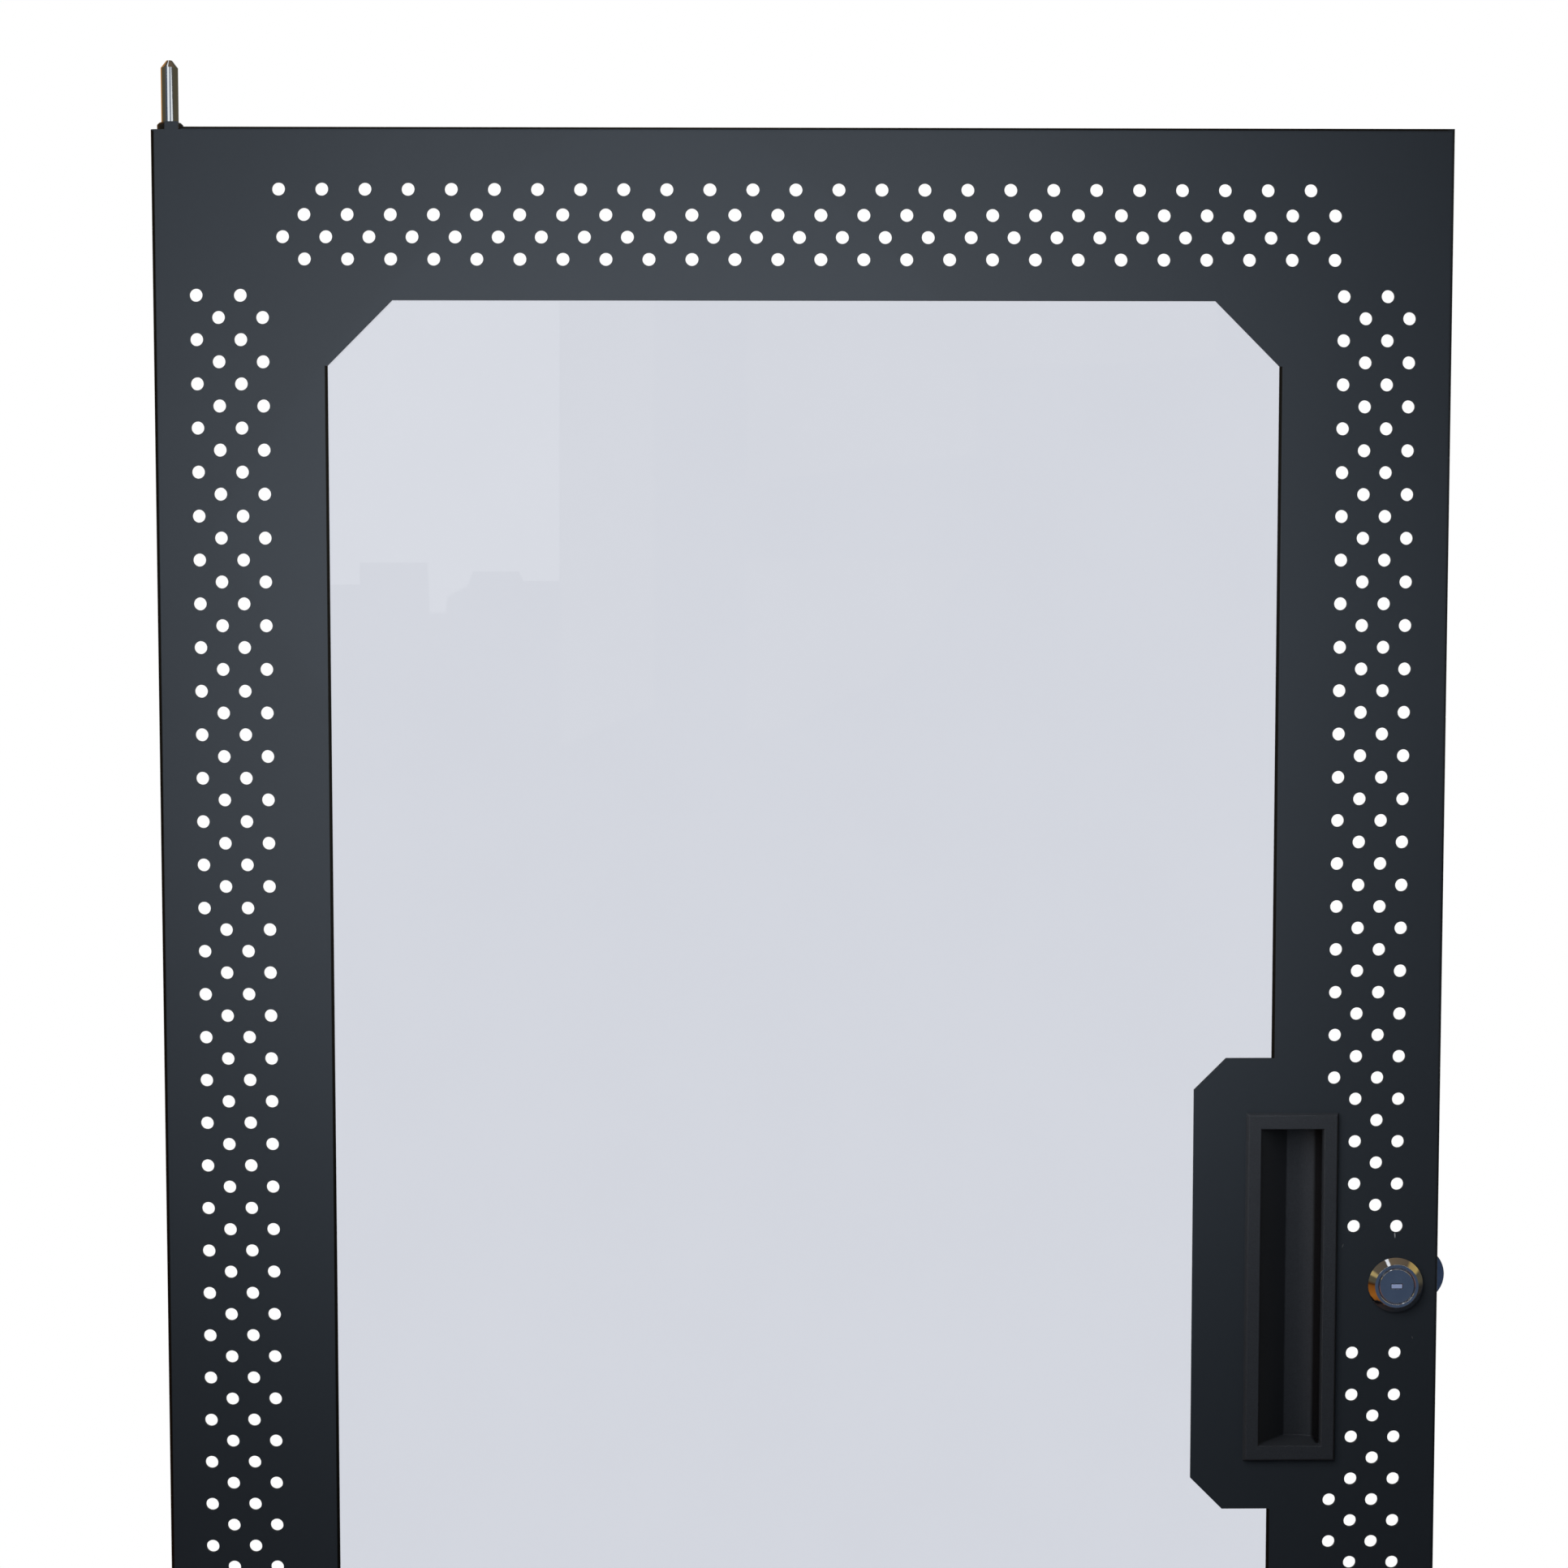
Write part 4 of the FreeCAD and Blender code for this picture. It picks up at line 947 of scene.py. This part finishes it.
# Lamps: name, place, what each points at, size, power in watts and spread in degrees.
LAMPS = [
    ("key", (0.225, FRONT - 0.3, 0.9), (0.225, FRONT, 0.9), (0.5, 0.5), 2.75, 180),
    ("foot", (0.3, FRONT - 0.2, 0.06), (0.3, FRONT, 0.06), (0.6, 0.1), 0.25, 180),
    ("left", (-0.9, 1.6, 0.6), (-0.03, 0, 0.6), (0.15, 1.2), 3.2, 22),
    ("right", (1.485, 1.6, 0.6), (0.615, 0, 0.6), (0.15, 1.2), 3.2, 22),
    ("back", (0.3, 1.8, 0.9), (0.3, 0, 0.5), (0.8, 0.8), 3.5, 180),
    ("top", (0.29, 0.9, 1.7), (0.29, 0, 1.1), (0.9, 0.15), 1.2, 30),
]
FLOOR_REACH = 1.1
FLOOR_FADE = (0.35, 0.9)
FLOOR_LEAST_WHITE = 0.75
CAMERA_LENS = 67.67
CAMERA_SENSOR = 36.0
CAMERA_PLACE = (0.2654, -1.3807, 0.8765)
CAMERA_PITCH, CAMERA_YAW = math.radians(-3.962), math.radians(0.735)


def bare_tree(owner):
    """The emptied node tree of a material or a world."""
    owner.use_nodes = True
    owner.node_tree.nodes.clear()
    return owner.node_tree


def plane(name, corners, material):
    mesh = bpy.data.meshes.new(name)
    mesh.from_pydata(corners, [], [tuple(range(len(corners)))])
    mesh.materials.append(material)
    item = bpy.data.objects.new(name, mesh)
    bpy.context.scene.collection.objects.link(item)
    return item


def seen_rays(tree):
    """One for rays that show the background, straight or through glass, but light no surface."""
    path = tree.nodes.new("ShaderNodeLightPath")
    bounces = math_node(tree, "ADD", path.outputs["Diffuse Depth"], path.outputs["Glossy Depth"])
    direct = math_node(tree, "SUBTRACT", 1.0, math_node(tree, "MINIMUM", bounces, 1.0))
    through = multiplied(tree, path.outputs["Is Transmission Ray"], direct)
    return math_node(tree, "MAXIMUM", path.outputs["Is Camera Ray"], through)


def mirrored_rays(tree):
    """One for rays that have been reflected, and not only bent through glass."""
    path = tree.nodes.new("ShaderNodeLightPath")
    reflections = math_node(tree, "MINIMUM", path.outputs["Glossy Depth"], 1.0)
    return multiplied(tree, path.outputs["Is Glossy Ray"], reflections)


def floor():
    """A pale floor that reads as white and keeps a faint shadow at the door's foot."""
    material = bpy.data.materials.new("pale_floor")
    tree = bare_tree(material)
    matte = node(tree, "BsdfDiffuse", Color=(0.8, 0.8, 0.8, 1))
    white = node(tree, "Emission", Color=(1, 1, 1, 1), Strength=1.0)
    away = distance(tree, object_place(tree), (CENTRE, 0, cad_low.z))
    shown = multiplied(tree, seen_rays(tree), remap(tree, away, *FLOOR_FADE, FLOOR_LEAST_WHITE))
    mix = tree.nodes.new("ShaderNodeMixShader")
    for socket, value in zip(mix.inputs, (shown, matte.outputs[0], white.outputs[0])):
        plug(tree, socket, value)
    node(tree, "OutputMaterial", Surface=mix.outputs[0])
    left, right, level = CENTRE - FLOOR_REACH, CENTRE + FLOOR_REACH, cad_low.z
    corners = [
        (left, -FLOOR_REACH, level), (right, -FLOOR_REACH, level),
        (right, FLOOR_REACH, level), (left, FLOOR_REACH, level),
    ]
    plane("floor", corners, material).visible_glossy = False


def room(tree):
    """What mirrors show: pale behind the door, a dim bluish room before it and warm walls at the sides."""
    coords = tree.nodes.new("ShaderNodeTexCoord")
    x, y, z = node(tree, "SeparateXYZ", Vector=coords.outputs["Generated"]).outputs
    around = math_node(tree, "MULTIPLY_ADD", math_node(tree, "ARCTAN2", z, x), 0.5 / math.pi, 0.5)
    walls = node(tree, "ValToRGB", Fac=around)
    stops = walls.color_ramp.elements
    while len(stops) < len(WALLS):
        stops.new(1.0)
    for stop, (degrees, colour) in zip(stops, WALLS):
        stop.position = degrees / 360 + 0.5
        stop.color = (*colour, 1)
    shown = walls.outputs["Color"]
    for start, full, colour in ROOM_ENDS:
        shown = mixed(tree, remap(tree, y, start, full), shown, colour)
    return shown


def world():
    """White where it is seen, a room where it is mirrored, and a soft even light."""
    scene_world = bpy.data.worlds.new("studio")
    bpy.context.scene.world = scene_world
    tree = bare_tree(scene_world)
    colour = mixed(tree, seen_rays(tree), (0.045, 0.047, 0.05), (1, 1, 1))
    colour = mixed(tree, mirrored_rays(tree), colour, room(tree))
    glow = node(tree, "Background", Color=colour, Strength=1.0)
    node(tree, "OutputWorld", Surface=glow.outputs[0])


def cards(rows, depth):
    """Glowing cards that only show in mirrors."""
    for name, colour, outline in rows:
        material = bpy.data.materials.new(name)
        tree = bare_tree(material)
        light = node(tree, "Emission", Color=(*colour, 1), Strength=1.0)
        node(tree, "OutputMaterial", Surface=light.outputs[0])
        card = plane(name, [(x, depth, z) for x, z in outline], material)
        card.visible_camera = False
        card.visible_diffuse = False
        card.visible_transmission = False
        card.visible_shadow = False


def lamp(name, spot, target, size, power, spread_angle):
    """A soft lamp that mirrors don't show, with its light kept within some degrees."""
    light = bpy.data.lights.new(name, "AREA")
    light.shape = "RECTANGLE"
    light.size, light.size_y = size
    light.energy = power
    light.spread = math.radians(spread_angle)
    item = bpy.data.objects.new(name, light)
    item.visible_camera = False
    item.visible_glossy = False
    item.visible_transmission = False
    item.location = spot
    item.rotation_euler = (Vector(target) - Vector(spot)).to_track_quat("-Z", "Y").to_euler()
    bpy.context.scene.collection.objects.link(item)


def camera():
    """The photograph's view: a little above the middle, looking slightly down and to the right."""
    data = bpy.data.cameras.new("camera")
    data.lens = CAMERA_LENS
    data.sensor_width = CAMERA_SENSOR
    item = bpy.data.objects.new("camera", data)
    item.location = CAMERA_PLACE
    item.rotation_euler = (math.pi / 2 + CAMERA_PITCH, 0, -CAMERA_YAW)
    bpy.context.scene.collection.objects.link(item)
    bpy.context.scene.camera = item


floor()
world()
camera()
cards(OUTDOORS, OUTDOORS_DEPTH)
cards(PIN_CARDS, PIN_CARDS_DEPTH)
for row in LAMPS:
    lamp(*row)
bpy.context.scene.view_settings.view_transform = "Standard"
